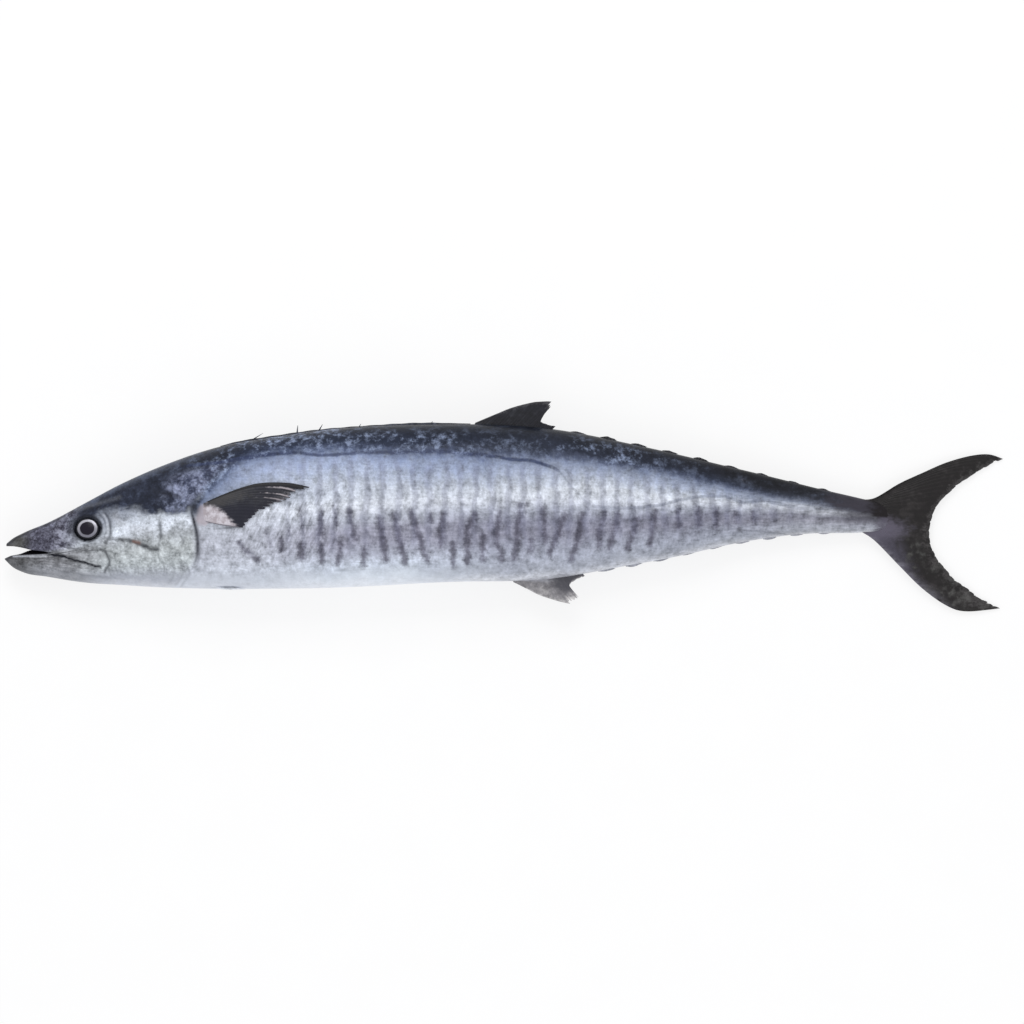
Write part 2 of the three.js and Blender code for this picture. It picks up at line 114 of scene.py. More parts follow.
class Finish:
    """One material, with short names for the nodes that this fish needs."""

    def __init__(self, name):
        self.material = bpy.data.materials.new(name)
        self.material.use_nodes = True
        self.tree = self.material.node_tree
        self.tree.nodes.clear()

    def node(self, kind, settings=None, inputs=None, out=0):
        """A node of this kind: settings first, a ramp's stops among them, then values or wires."""
        made = self.tree.nodes.new("ShaderNode" + kind)
        for key, value in (settings or {}).items():
            if key == "stops":
                self.set_stops(made.color_ramp, value)
            else:
                setattr(made, key, value)
        for key, value in (inputs or {}).items():
            if isinstance(value, Wire):
                self.tree.links.new(value.socket, made.inputs[key])
            else:
                made.inputs[key].default_value = value
        return Wire(self, made.outputs[out]) if made.outputs else None

    @staticmethod
    def set_stops(ramp, stops):
        """Moves the stops into place first, and colours them once they stand in order."""
        while len(ramp.elements) < len(stops):
            ramp.elements.new(1.0)
        for element, (place, colour) in zip(ramp.elements, stops):
            element.position = place
        for element, (place, colour) in zip(ramp.elements, stops):
            element.color = colour

    def mark(self, name):
        """A number that the mesh carries at each point."""
        return self.node("Attribute", {"attribute_name": name}, out="Fac")

    def noise(self, size, detail=3.0, rough=0.55, stretch=(1, 1, 1), offset=0.0, lean=0.0):
        """Cloudy noise about 0, from -.5 to .5, whose patches are about size millimetres. Stretch draws
        them out along each axis, and lean then tips them, in radians, towards the tail."""
        place = self.node("TexCoord", out="Object")
        if lean:
            place = self.node("VectorRotate", {"rotation_type": "Z_AXIS"}, {"Vector": place, "Angle": lean})
        scale = tuple(1 / (part * size * MM) for part in stretch)
        moved = self.node("Mapping", {}, {"Vector": place, "Location": (offset,) * 3, "Scale": scale})
        inputs = {"Vector": moved, "Scale": 1.0, "Detail": detail, "Roughness": rough}
        return self.node("TexNoise", {}, inputs) - 0.5

    def smooth(self, value, low, high):
        """0 below low, 1 above high, and a soft S between them."""
        settings = {"interpolation_type": "SMOOTHSTEP"}
        inputs = {"Value": value, "From Min": low, "From Max": high}
        return self.node("MapRange", settings, inputs)

    def mix(self, mask, first, second, kind="MIX"):
        """first where the mask is 0, second where it is 1."""
        settings = {"data_type": "RGBA", "blend_type": kind}
        return self.node("Mix", settings, {0: mask, 6: first, 7: second}, out=2)

    def ramp(self, value, stops):
        """The colour at this value, in straight lines between the stops."""
        return self.node("ValToRGB", {"stops": stops}, {"Fac": value})

    def close(self, colour, height=None, depth=0.0, **sockets):
        """Ends the finish: a Principled surface, with a Bump of so many millimetres."""
        inputs = {"Base Color": colour}
        inputs.update({key.replace("_", " "): value for key, value in sockets.items()})
        if height is not None:
            bump = {"Height": height, "Distance": depth * MM, "Strength": 1.0}
            inputs["Normal"] = self.node("Bump", {}, bump)
        surface = self.node("BsdfPrincipled", {}, inputs)
        self.node("OutputMaterial", {}, {"Surface": surface})
        return self.material


def tone(red, green, blue):
    """A colour as seen on a screen, 0 to 255, turned to the linear light that a shader adds up."""
    seen = np.array([red, green, blue]) / 255
    light = np.where(seen < 0.04045, seen / 12.92, ((seen + 0.055) / 1.055) ** 2.4)
    return (*light.tolist(), 1.0)


print("dark back as linear light:", [round(c, 3) for c in tone(46, 52, 68)])

# %% [markdown]
# ## Slab and light
#
# The slab is plain and almost white, and glows a little, as a light table does, so that the fish throws
# only a faint shadow. A white sky lights the fish from all round, which keeps its own colours true, and
# two wide soft lamps give the wet skin something to shine with. Both stand outside the camera's view.

# %% Slab and light
SLAB_SIDE = 12.0  # metres
SLAB_GLOW, SKY_GLOW = 0.76, 0.78

slab_mesh = bpy.data.meshes.new("slab")
corners = SLAB_SIDE / 2 * np.array([[-1, -1, 0], [1, -1, 0], [1, 1, 0], [-1, 1, 0]])
slab_mesh.from_pydata(corners.tolist(), [], [(0, 1, 2, 3)])
slab = bpy.data.objects.new("slab", slab_mesh)
scene.collection.objects.link(slab)
slab_finish = Finish("pale_slab")
slab_grain = slab_finish.noise(60.0)
slab_colour = slab_finish.mix(slab_grain + 0.5, tone(128, 128, 129), tone(132, 132, 133))
slab_mesh.materials.append(slab_finish.close(
    slab_colour, Roughness=0.9, Specular_IOR_Level=0.0, Emission_Color=(1, 1, 1, 1),
    Emission_Strength=SLAB_GLOW,
))

world = bpy.data.worlds.new("white_sky")
world.use_nodes = True
sky = world.node_tree.nodes["Background"].inputs
sky["Color"].default_value = (1.0, 1.0, 1.0, 1.0)
sky["Strength"].default_value = SKY_GLOW
scene.world = world
scene.view_settings.view_transform = "Standard"


def soft_lamp(name, place, side, power):
    """A square lamp turned to face the middle of the slab."""
    data = bpy.data.lights.new(name, "AREA")
    data.size = side
    data.energy = power
    lamp = bpy.data.objects.new(name, data)
    lamp.location = place
    lamp.rotation_euler = (-lamp.location).to_track_quat("-Z", "Y").to_euler()
    scene.collection.objects.link(lamp)
    return lamp


LAMP_SIDE = 1.6
soft_lamp("back_lamp", (-0.4, 2.2, 2.4), LAMP_SIDE, 34.0)
soft_lamp("belly_lamp", (0.5, -2.4, 2.2), LAMP_SIDE, 14.0)
print("two lamps, each", LAMP_SIDE, "m square")

# %% [markdown]
# ## The body's form
#
# The trunk is one long form whose outline and thickness are known at eighteen stations. A smooth line
# through each column of the table gives the back, the belly and the half width anywhere between. The
# table is the CAD part's own, so the new skin lies on the CAD body, and the lengths that scale it are read
# from the body's box.

# %% Outline, thickness and backbone
PROFILE = [  # [along, back, belly, half width], as shares of the length, the depth and half the width
    [0.0, -0.222, -0.314, 0.07],
    [0.008, -0.184, -0.357, 0.14],
    [0.021, -0.145, -0.394, 0.21],
    [0.048, -0.082, -0.421, 0.31],
    [0.089, 0.038, -0.457, 0.435],
    [0.129, 0.157, -0.472, 0.56],
    [0.183, 0.289, -0.489, 0.73],
    [0.237, 0.39, -0.496, 0.86],
    [0.318, 0.472, -0.496, 0.965],
    [0.399, 0.52, -0.48, 1.0],
    [0.507, 0.541, -0.455, 0.965],
    [0.615, 0.506, -0.43, 0.84],
    [0.722, 0.396, -0.33, 0.63],
    [0.83, 0.25, -0.204, 0.39],
    [0.911, 0.138, -0.148, 0.25],
    [0.965, 0.069, -0.142, 0.19],
    [0.992, 0.03, -0.122, 0.09],
    [1.0, -0.01, -0.086, 0.035],
]
FLANK_PRESS = 4.5  # how far the fish's weight flattens the flank it lies on
SNOUT_HEIGHT = 22.5
TAIL_REACH = 110.0
TAIL_TIP_HEIGHT = 1.8
FULLNESS = 2.15  # power of the cross-section: 2 is an ellipse, more has fuller flanks
TRUNK_FROM, TRUNK_TO = 0.292, 0.449
HEAD_SAG, TAIL_SAG = 1.6, 1.35


def smooth_line(points):
    """A cubic through each pair of points. The slope at a point is the mean of the slopes on its two
    sides, each weighted by the other side's length."""
    x, y = np.array(points, float).T
    width = np.diff(x)
    chord = np.diff(y) / width
    inner = (width[1:] * chord[:-1] + width[:-1] * chord[1:]) / (width[:-1] + width[1:])
    slope = np.concatenate([chord[:1], inner, chord[-1:]])

    def line(at):
        i = np.clip(np.searchsorted(x, at, side="left") - 1, 0, len(width) - 1)
        share = np.clip((at - x[i]) / width[i], 0, 1)
        rise = y[i + 1] - y[i]
        early = slope[i] * width[i] - rise
        late = rise - slope[i + 1] * width[i]
        return y[i] + rise * share + share * (1 - share) * (early * (1 - share) + late * share)

    return line


def soft_step(value, low, high):
    """0 below low, 1 above high, and 3x^2 - 2x^3 of the share between them."""
    share = np.clip((value - low) / (high - low), 0, 1)
    return share * share * (3 - 2 * share)


columns = np.array(PROFILE)
back_share, belly_share, width_share = (smooth_line(columns[:, [0, k]]) for k in (1, 2, 3))
body_low, body_high = (np.array(corner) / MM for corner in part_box("body"))
stations = np.linspace(0, 1, 2000)
LENGTH = body_high[0] - body_low[0]
DEPTH = (body_high[1] - body_low[1]) / (back_share(stations).max() - belly_share(stations).min())
WIDTH = body_high[2] + FLANK_PRESS
START = body_low[0]
AXIS = body_high[1] - back_share(stations).max() * DEPTH
TAIL_TIP = LENGTH + TAIL_REACH
print("length, depth, width:", [round(v, 1) for v in (LENGTH, DEPTH, WIDTH)], "axis at", round(AXIS, 2))


def back_at(s):
    """Height of the back over the axis: its share of the depth."""
    return back_share(s / LENGTH) * DEPTH


def belly_at(s):
    """Height of the belly over the axis, which is negative: its share of the depth."""
    return belly_share(s / LENGTH) * DEPTH


def half_width_at(s):
    """Half the thickness: its share of half the width."""
    return width_share(s / LENGTH) * WIDTH / 2


def backbone_height(s):
    """Level over the trunk, and dropping as a power of the distance towards the snout and the tail."""
    trunk = WIDTH / 2 - FLANK_PRESS
    to_head = np.clip((TRUNK_FROM * LENGTH - s) / (TRUNK_FROM * LENGTH), 0, 1)
    to_tail = np.clip((s - TRUNK_TO * LENGTH) / (TAIL_TIP - TRUNK_TO * LENGTH), 0, 2)
    head_drop = (trunk - SNOUT_HEIGHT) * to_head**HEAD_SAG
    tail_drop = (trunk - TAIL_TIP_HEIGHT) * to_tail**TAIL_SAG
    return trunk - head_drop - tail_drop


def placed(s, h, z):
    """Points of the fish, in millimetres along, above its axis and above the slab, in the frame."""
    s, h, z = np.broadcast_arrays(s, h, z)
    return np.stack([s + START, h + AXIS, z], axis=-1) * MM


# %% [markdown]
# The fish rests on its right flank. There its weight presses the skin flat, so the round form is cut off
# level at the slab, and a shallow pocket above the slab leaves room for the lower pectoral fin.

# %% The flank it lies on
PECTORAL_AT, PECTORAL_AXIS = 0.2185, -0.022
PECTORAL_LENGTH, PECTORAL_ROOT = 112.0, 15.0
POCKET_DEPTH = 3.6
POCKET_REACH, POCKET_SPREAD = 0.62, 2.4  # half the oval's sides, as shares of the fin's length and root


def slab_at(s, h):
    """0, the slab, but a few millimetres over an oval where the lower pectoral fin is pressed in."""
    along = (s - PECTORAL_AT * LENGTH - PECTORAL_LENGTH / 2) / (POCKET_REACH * PECTORAL_LENGTH)
    across = (h - PECTORAL_AXIS * DEPTH - PECTORAL_ROOT / 2) / (POCKET_SPREAD * PECTORAL_ROOT)
    return POCKET_DEPTH * (1 - soft_step(np.hypot(along, across), 1, 1.3))


def skin(s, turn, grow=0.0):
    """Round the body from the upper flank over the back: a rounded oval, whose height and width go as a
    power of the sine and cosine of the turn, cut off level at the slab, and grown by grow."""
    power = 2 / FULLNESS
    middle = (back_at(s) + belly_at(s)) / 2
    half = (back_at(s) - belly_at(s)) / 2 + grow
    sine, cosine = np.sin(turn), np.cos(turn)
    h = middle + half * np.sign(sine) * np.abs(sine) ** power
    t = (half_width_at(s) + grow) * np.sign(cosine) * np.abs(cosine) ** power
    return h, np.maximum(backbone_height(s) + t, slab_at(s, h))


def flank_height(s, h, side):
    """Height above the slab of the upper (1) or lower (-1) flank at s, h."""
    top, bottom = back_at(s), belly_at(s)
    reach = np.minimum(1, np.abs((2 * h - top - bottom) / (top - bottom)))
    z = backbone_height(s) + side * half_width_at(s) * (1 - reach**FULLNESS) ** (1 / FULLNESS)
    return z if side > 0 else np.maximum(z, slab_at(s, h))


print("top of the flank, mm:", round(float(flank_height(0.4 * LENGTH, 3.0, 1)), 1))

# %% [markdown]
# ## From a grid of points to a piece
#
# Every surface here is a grid: rows of points, with a square between each four neighbours. One helper
# joins the squares, a second turns points and faces into a Blender mesh, gives it numbers at each point
# for its finish to read, hangs it on the fish's one body, and hides the CAD nodes that it stands for.


# %% Grids and pieces
def squares(rows, count, around=False):
    """The corner numbers of each square of a grid. Around joins the last column to the first."""
    last = count if around else count - 1
    row = np.arange(rows - 1)[:, None]
    left = np.arange(last)[None, :]
    right = (left + 1) % count
    corners = np.broadcast_arrays(
        row * count + left, row * count + right, (row + 1) * count + right, (row + 1) * count + left
    )
    return np.stack(corners, axis=-1).reshape(-1, 4)


def enclosed(points, faces):
    """Six times the volume between the faces and the origin: a triangle's corners a, b, c give a . (b x c),
    and a square counts as two triangles. It is negative where faces point inwards."""
    a, b, c = (points[faces[:, k]] for k in range(3))
    volume = np.einsum("ij,ij->", a, np.cross(b, c))
    if faces.shape[1] == 4:
        d = points[faces[:, 3]]
        volume += np.einsum("ij,ij->", a, np.cross(c, d))
    return volume


def end_caps(rows, around):
    """Triangles from a closed grid's first and last rings to two poles, which are numbered after it."""
    ring = np.arange(around)
    after = (ring + 1) % around
    last = (rows - 1) * around
    pole = np.full(around, rows * around)
    front = np.stack([after, ring, pole], axis=-1)
    back = np.stack([ring + last, after + last, pole + 1], axis=-1)
    return [front, back]


def piece(name, points, parts, material, nodes, marks=None):
    """A shown piece from points in metres and arrays of faces, riding on the fish's one body."""
    volume = sum(enclosed(points, part) for part in parts)
    faces = [face if volume > 0 else face[::-1] for part in parts for face in part.tolist()]
    mesh = bpy.data.meshes.new(name)
    mesh.from_pydata(points.tolist(), [], faces)
    mesh.polygons.foreach_set("use_smooth", np.ones(len(faces), bool))
    for mark, values in (marks or {}).items():
        numbers = np.ascontiguousarray(np.broadcast_to(values, len(points)), dtype=np.float32)
        mesh.attributes.new(mark, "FLOAT", "POINT").data.foreach_set("value", numbers)
    mesh.update()
    mesh.materials.append(material)
    made = bpy.data.objects.new(name, mesh)
    scene.collection.objects.link(made)
    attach(made, "root")
    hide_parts(*nodes)
    print(name, "has", len(faces), "faces")
    return made


print("a grid of 3 by 4 points has", len(squares(3, 4)), "squares")


# %% [markdown]
# ## Lines on the skin
#
# A head's plates and folds show as thin lines: the mouth, the upper jaw's plate, the cheek groove, the
# edge of the gill cover. Each is a short list of points on the flank, in millimetres along and above the
# axis. The distance of every point of the skin from such a line gives both the painted shade of the fold,
# where shade falls into the crease, and its depth, so colour and form agree.


# %% Lines and their distances
def curve(points):
    """A smooth curve through points: each stretch is a cubic whose slope at a point is half the step
    between its two neighbours. It takes an array of shares from 0 to 1."""
    p = np.array(points, float)
    padded = np.concatenate([p[:1], p, p[-1:]])

    def at(share):
        place = np.asarray(share, float) * (len(p) - 1)
        i = np.clip(place.astype(int), 0, len(p) - 2)
        w = (place - i)[..., None]
        before, start, end, after = (padded[i + k] for k in range(4))
        v0, v1 = (end - before) / 2, (after - start) / 2
        cubic = (2 * start - 2 * end + v0 + v1) * w**3
        return cubic + (-3 * start + 3 * end - 2 * v0 - v1) * w**2 + v0 * w + start

    return at


def stroke_gap(s, h, start, end):
    """Distance from s, h to the nearest point of a straight stroke, which lies at the share of its length
    where the line to it meets the stroke squarely, kept from 0 to 1."""
    ds, dh = end[0] - start[0], end[1] - start[1]
    ahead, above = s - start[0], h - start[1]
    share = np.clip((ahead * ds + above * dh) / (ds * ds + dh * dh + 1e-9), 0, 1)
    return np.hypot(ahead - share * ds, above - share * dh)


def distance(points, s, h):
    """The shortest distance from s, h to the straight pieces of a curve through the points."""
    line = curve(points)(np.linspace(0, 1, 5 * len(points)))
    nearest = np.full(np.shape(s), 1e3)
    for start, end in zip(line[:-1], line[1:]):
        nearest = np.minimum(nearest, stroke_gap(s, h, start, end))
    return nearest


def unsteady(s, h):
    """The same places pushed about by half a millimetre in slow waves, so that no line is ruled."""
    return s + 0.35 * np.sin(h / 2.3 + s / 7), h + 0.35 * np.sin(s / 2.9 + h / 5) + 0.25 * np.sin(s / 1.1)


def ridge(gap, width):
    """1 on a line and falling off like a bell to nothing at about twice the width."""
    return np.exp(-((gap / width) ** 2))


EYE_AT = (83.7, -18.6)  # middle of the eye
EYE_LENGTH, EYE_HEIGHT = 27.0, 24.0


def lid(radius, first, last, count=7):
    """An arc round the eye, from one angle to another, degrees up from straight behind the eye."""
    angle = np.radians(np.linspace(first, last, count))
    return [(EYE_AT[0] + radius * c, EYE_AT[1] + radius * k) for c, k in zip(np.cos(angle), np.sin(angle))]


FOLDS = [
    # points, width of the line, how dark its painted shade is, how deep it is
    (
        [(28, -41), (40, -43.2), (53, -45.4), (65.5, -48.4), (78, -52), (90.4, -55.4), (97, -57)],
        1.1, 1.35, 1.3,
    ),
    ([(34, -42), (44, -43.8), (54, -45.6), (62, -47.4)], 1.6, 1.3, 0.5),
    ([(1, -36.8), (12, -37.4), (22, -39), (30, -40.6)], 1.0, 0.75, 0.2),
    ([(1, -35.5), (12, -28.4), (25, -21.5), (40, -15.5), (60, -6.5)], 1.5, 0.7, 0.0),
    ([(2, -49.5), (8, -46.8), (16, -46.2), (24, -46.6)], 1.6, 0.6, 0.0),
    ([(50, -34), (58, -36.4), (66, -38.4), (80, -40), (90, -40.6), (98, -40)], 0.9, 0.62, 0.5),
    ([(97, -39.5), (101, -40.5), (104, -45), (105.5, -51), (104, -57), (101, -62)], 1.5, 0.8, 0.8),
    ([(104, -58), (106, -62), (107, -66)], 1.2, 0.35, 0.2),
    ([(101, -29), (112, -29.4), (125, -31), (133, -33), (141, -37.5), (147, -39.5)], 1.7, 0.6, 1.2),
    ([(126, -31.2), (134, -33.6), (141, -37.2), (148, -39.5), (154, -38.4)], 2.3, 0.85, 1.0),
    ([(112, -30.4), (122, -32), (132, -35)], 1.6, 0.4, 0.3),
    ([(127, -32.6), (136, -35), (147, -37.4)], 3.4, 0.5, 0.5),
    ([(139, -35.4), (144, -37.2)], 1.9, 1.0, 0.5),
    ([(104, -44), (106, -48), (105, -53)], 2.4, 0.5, 0.4),
    ([(156, -11), (157.6, -20), (157, -30), (155, -38), (156, -48), (160, -54), (161, -61)], 1.1, 0.4, 0.5),
    ([(156.4, -13), (157.6, -20), (157.6, -27)], 1.6, 0.7, 0.3),
    ([(178, -26), (180, -31), (179, -35)], 1.1, 0.5, 0.2),
    ([(157, -36.5), (164, -37), (171, -39), (178, -41.5)], 1.0, 0.4, 0.4),
    (lid(23.5, -38, 40), 1.7, 0.75, 0.5),
    (lid(18.8, -40, 80), 1.2, 0.5, 0.3),
    ([(100, 0), (106, -4), (112, -7), (121, -9)], 2.2, 0.4, 0.2),
    ([(28, -48.2), (42, -48.6), (58, -50.5), (70, -53)], 0.8, 0.4, 0.3),
    ([(30, -51.6), (46, -52), (62, -54.5), (78, -58)], 0.7, 0.3, 0.2),
    ([(60, -62), (78, -64.5), (98, -67), (120, -69)], 0.9, 0.25, 0.3),
    ([(114, -41.5), (122, -41), (131, -42.5)], 0.6, 0.4, 0.3),
    ([(116, -45), (124, -44.4), (132, -46.5)], 0.6, 0.35, 0.3),
    ([(166, -50), (170, -58), (170, -66), (164, -73)], 1.0, 0.22, 0.3),
    ([(174, -48), (179, -58), (178, -67), (171, -75)], 1.0, 0.22, 0.3),
    ([(183, -54), (186, -61), (183, -69), (176, -77)], 1.0, 0.25, 0.3),
    ([(150, 20), (160, 17), (170, 14.5), (178, 12.5)], 2.2, 0.6, 0.2),
    ([(182, 40), (196, 43), (211, 44)], 1.6, 0.25, 0.2),
    ([(214, -17.5), (226, -18), (238, -16.5)], 1.1, 0.7, 0.4),
    ([(332, -60), (345, -60.5), (358, -60)], 0.9, 0.4, 0.2),
    ([(735, -20), (760, -22), (785, -25), (806, -28)], 0.9, 0.4, 0.2),
]
LIGHT_LINES = [
    # points, width, how light
    ([(9, -46.6), (20, -46.4), (32, -46.4), (42, -46.4)], 0.9, 0.75),
    ([(73, 0), (88, 4.5), (102, 8.5), (116, 12.5)], 2.0, 0.11),
    (lid(21.0, -30, 40), 1.1, 0.4),
    ([(58, -41), (70, -44), (84, -46), (97, -46.5)], 2.2, 0.3),
    ([(112, -8), (125, -18), (150, -20)], 4.5, 0.35),
]
GILL_EDGE = [  # height above the axis, along
    (-82, 163), (-73, 175), (-65, 183), (-50, 192), (-35, 193.5), (-20, 192), (-8, 189), (0, 188), (7, 193),
    (16, 202),
]
print(len(FOLDS), "folds,", len(LIGHT_LINES), "light lines")

# %% [markdown]
# ## Dark back, lateral line and bars
#
# The fish is countershaded: a dark blue back, silver flanks and a pale belly. The dark ends along a line
# that starts behind the eye, climbs over the gill cover and runs back under the dorsal fins to the tail.
# The lateral line runs below it and dips behind the second dorsal fin. On the lower flank stand dark bars,
# each worked out as the distance from a short stroke.

# %% Where the colours change
BACK_LIMIT = [  # lower limit of the dark back: along, height above the axis
    (-5, -36), (20, -24), (45, -16), (62, -8), (76, -7), (88, -6), (97, -1), (120, 3), (140, 0),
    (150, -4), (160, -4), (172, -3), (184, 1), (196, 12), (210, 29), (225, 43), (255, 57), (290, 62),
    (345, 64.5), (400, 61),
    (495, 59), (545, 57), (595, 50), (650, 42), (695, 33), (735, 22.5), (775, 14), (815, 9), (845, 4),
    (870, -3), (895, -8),
]
LATERAL_LINE = [
    (163, 38), (175, 42), (213, 47), (251, 53), (285, 56.5), (328, 54.5), (347, 56.4), (395, 57),
    (435, 58), (475, 55), (511, 50), (525, 49), (545, 43), (555, 38), (565, 25), (572, 18), (584, 6),
    (598, 3), (626, 2), (655, 5), (675, 10), (695, 13), (710, 14), (725, 12), (735, 8), (757, 9),
    (788, 3), (840, -3), (880, -6),
]
BARS = [  # top and bottom of each stroke: along, height, along, height, and its half width
    (317, -5, 317, -25, 2.6), (318, -35, 318, -50, 2.6), (298, -35, 298, -48, 3.0),
    (278, -30, 278, -40, 2.4), (345, 0, 351, -28, 2.4), (337, -34, 334, -53, 2.2),
    (360, -40, 360, -55, 2.4), (375, -7, 382, -50, 2.8), (390, -5, 401, -52, 2.8),
    (407, -2, 423, -50, 2.8), (426, -4, 427, -12, 2.2), (439, -5, 436, -35, 2.6),
    (449, -34, 449, -55, 2.4), (470, -5, 463, -20, 2.6), (463, -20, 463, -52, 2.8),
    (479, -25, 478, -50, 2.4), (495, -2, 492, -20, 2.6), (492, -20, 493, -37, 2.6),
    (497, -42, 497, -50, 2.2), (515, 5, 512, -35, 2.8), (512, -35, 509, -48, 2.6),
    (526, -30, 526, -40, 2.2), (538, 2, 541, -30, 2.6), (560, -5, 555, -20, 2.6),
    (555, -20, 545, -43, 2.6), (578, -5, 573, -30, 2.6), (573, -30, 566, -50, 2.4),
    (594, -20, 594, -35, 2.4), (613, -5, 605, -38, 2.4), (632, -10, 623, -38, 2.4),
    (651, -2, 645, -35, 2.2), (673, -2, 673, -17, 2.0), (694, 0, 694, -15, 2.0),
    (712, 0, 712, -17, 1.8), (730, -2, 731, -12, 1.6), (748, -2, 749, -10, 1.4),
    (236, -33, 243, -42, 2.4), (245, -42, 254, -50, 2.6), (262, -20, 268, -36, 0.4),
    (296, 2, 300, -22, 0.4), (330, 4, 333, -14, 0.8), (286, -20, 283, -32, 0.3),
    (522, 6, 518, -8, 1.0), (600, -2, 597, -16, 0.8),
]
NO_BAR = 12.0


def bar_distance(s, h):
    """Signed distance from the nearest bar, negative inside it: the gap to the stroke less its half
    width, and no more than NO_BAR."""
    nearest = np.full(np.shape(s), NO_BAR)
    for s0, h0, s1, h1, half in BARS:
        nearest = np.minimum(nearest, stroke_gap(s, h, (s0, h0), (s1, h1)) - half)
    return nearest


print(len(BARS), "bar strokes")

# %% [markdown]
# ## The skin
#
# The skin is one sock of points. Its rim is the parted lips: each line of points along the body starts
# where it leaves the mouth's gap, so a line near the middle of the snout starts at the corner of the
# mouth and one over the top starts at the tip. Inside the rim more rows turn back and close the throat.
# Behind, the rows draw together in a pole that the tail fin hides.

# %% Mouth
CORNER = (45.0, -42.8)
UPPER_LIP = smooth_line(
    [(0, -36.2), (11.6, -36.8), (20, -38.4), (26.5, -40), (31, -40.6), (41, -42), CORNER]
)
LOWER_LIP = smooth_line(
    [(0, -48.6), (7.4, -45.6), (15, -45.1), (30, -45.2), (38, -45.1), (43, -44.3), CORNER]
)
MOUTH_FLOOR = smooth_line([(0, -48.4), (7, -46.2), (15.7, -43.2), (26.5, -40.2), (36, -40.6), (48, -43)])
THROAT = (49.0, -43.2)
FIRST_LIP_POINT = 1.6  # the upper lip starts this far back, since the lower jaw is the longer one
AROUND = 144
STRETCHED = 110.0  # the lines are squeezed this far behind the tips to make room for the mouth


def lip_starts(turn):
    """How far back each line of points starts: the place where the lip's height, as a share of the half
    depth, equals the line's own share. A lip that turns back is replaced by its lowest line."""
    s = np.linspace(0, CORNER[0], 400)
    middle, half = (back_at(s) + belly_at(s)) / 2, (back_at(s) - belly_at(s)) / 2
    own = np.sign(np.sin(turn)) * np.abs(np.sin(turn)) ** (2 / FULLNESS)
    upper = np.maximum.accumulate(((UPPER_LIP(s) - middle) / half)[::-1])
    lower = np.minimum.accumulate(((LOWER_LIP(s) - middle) / half)[::-1])
    tiny = 1e-5 * np.arange(len(s))
    from_top = np.interp(own, upper + tiny, s[::-1])
    from_below = np.interp(-own, -lower + tiny, s[::-1])
    is_upper = own > upper[0]
    return np.where(is_upper, np.maximum(from_top, FIRST_LIP_POINT), from_below), is_upper


print("the mouth's corner is", CORNER, "and its throat", THROAT)


# %% [markdown]
# The lines of points are spaced a little closer on the flanks. The rows stand less than a millimetre apart
# over the head, where the folds are, and wider apart behind it.

# %% Points of the skin
HEAD_ROWS_TO, HEAD_ROW = 214, 0.9
TRUNK_ROWS = 372
even = np.arange(AROUND) / AROUND * 2 * np.pi
turn = even - 0.2 * np.sin(2 * even)  # closer together on the flanks than on the back and belly
lip, is_upper = lip_starts(turn)
head_rows = np.arange(0, HEAD_ROWS_TO, HEAD_ROW)
row_places = np.concatenate([head_rows, np.linspace(HEAD_ROWS_TO + 0.5, LENGTH, TRUNK_ROWS)])
squeeze = 1 - np.minimum(row_places, STRETCHED) / STRETCHED
along = row_places[:, None] + lip[None, :] * squeeze[:, None]
flat_h, _ = skin(along, turn[None, :])
print("rows and columns:", along.shape)

# %% [markdown]
# Form comes next. The numbers below lift or sink the skin by a millimetre or two: the gill cover stands
# proud and steps down sharply at its edge, the eye sits in a socket with a raised rim, the upper jaw's
# plate overlaps the lower jaw, and long soft muscles run down the flank.


# %% Relief
NOSTRIL = (52, -14.5)
TUCK_FROM, TUCK_TO, TUCK = 862, 886, 2.9  # where the skin draws in under the tail fin, and how far


def oval_gap(s, h, middle, reach, rise):
    """Distance from the middle of an oval, as a share of its half length and half height: 1 on its edge."""
    return np.hypot((s - middle[0]) / reach, (h - middle[1]) / rise)


def eye_share(s, h):
    """Distance from the middle of the eye, where 1 is the eye's own oval outline."""
    return oval_gap(s, h, EYE_AT, EYE_LENGTH / 2, EYE_HEIGHT / 2)


def gill_gap(s, h):
    """How far a point lies behind the edge of the gill cover."""
    return s - smooth_line(GILL_EDGE)(h)


def relief(s, h):
    """Millimetres that the skin stands above the plain body."""
    behind = gill_gap(s, h)
    fade = soft_step(h, -74, -44) * (1 - soft_step(h, 6, 22))
    cover = soft_step(behind, -60, -4) * (1 - soft_step(behind, -0.6, 1.2))
    trough = ridge(behind - 2.6, 2.2)
    lift = fade * (1.7 * cover - 1.0 * trough)
    plate = soft_step(-distance([(52, -40), (66, -44), (80, -47), (96, -49)], s, h), -9, -3)
    lift += 0.9 * plate
    socket = eye_share(s, h)
    lift += 0.7 * ridge(socket - 1.16, 0.12) - 4.2 * (1 - soft_step(socket, 0.9, 1.03))
    for points, width, _, depth in FOLDS:
        lift -= depth * ridge(distance(points, *unsteady(s, h)), 1.2 * width)
    lift -= 0.9 * ridge(oval_gap(s, h, NOSTRIL, 1.6, 1.0), 1.0)
    seam_part = soft_step(s, 165, 185) * (1 - soft_step(s, 850, 880))
    lift += 0.2 * seam_part * ridge(h - smooth_line(LATERAL_LINE)(s), 1.6)
    lift += 0.5 * np.sin(s / 31 + h / 24) * soft_step(s, 210, 300) * (1 - soft_step(s, 760, 860))
    lift -= np.minimum(TUCK * soft_step(s, TUCK_FROM, TUCK_TO), half_width_at(s) - 0.5)
    return lift


lift = relief(along, flat_h)
high, raised = skin(along, turn[None, :], lift)
print("relief, mm:", round(float(lift.min()), 1), "to", round(float(lift.max()), 1))

# %% [markdown]
# Inside the lips the rows run back to one point, the throat. The roof and the floor of the mouth leave the
# lips' own height softly, and come together at the throat.

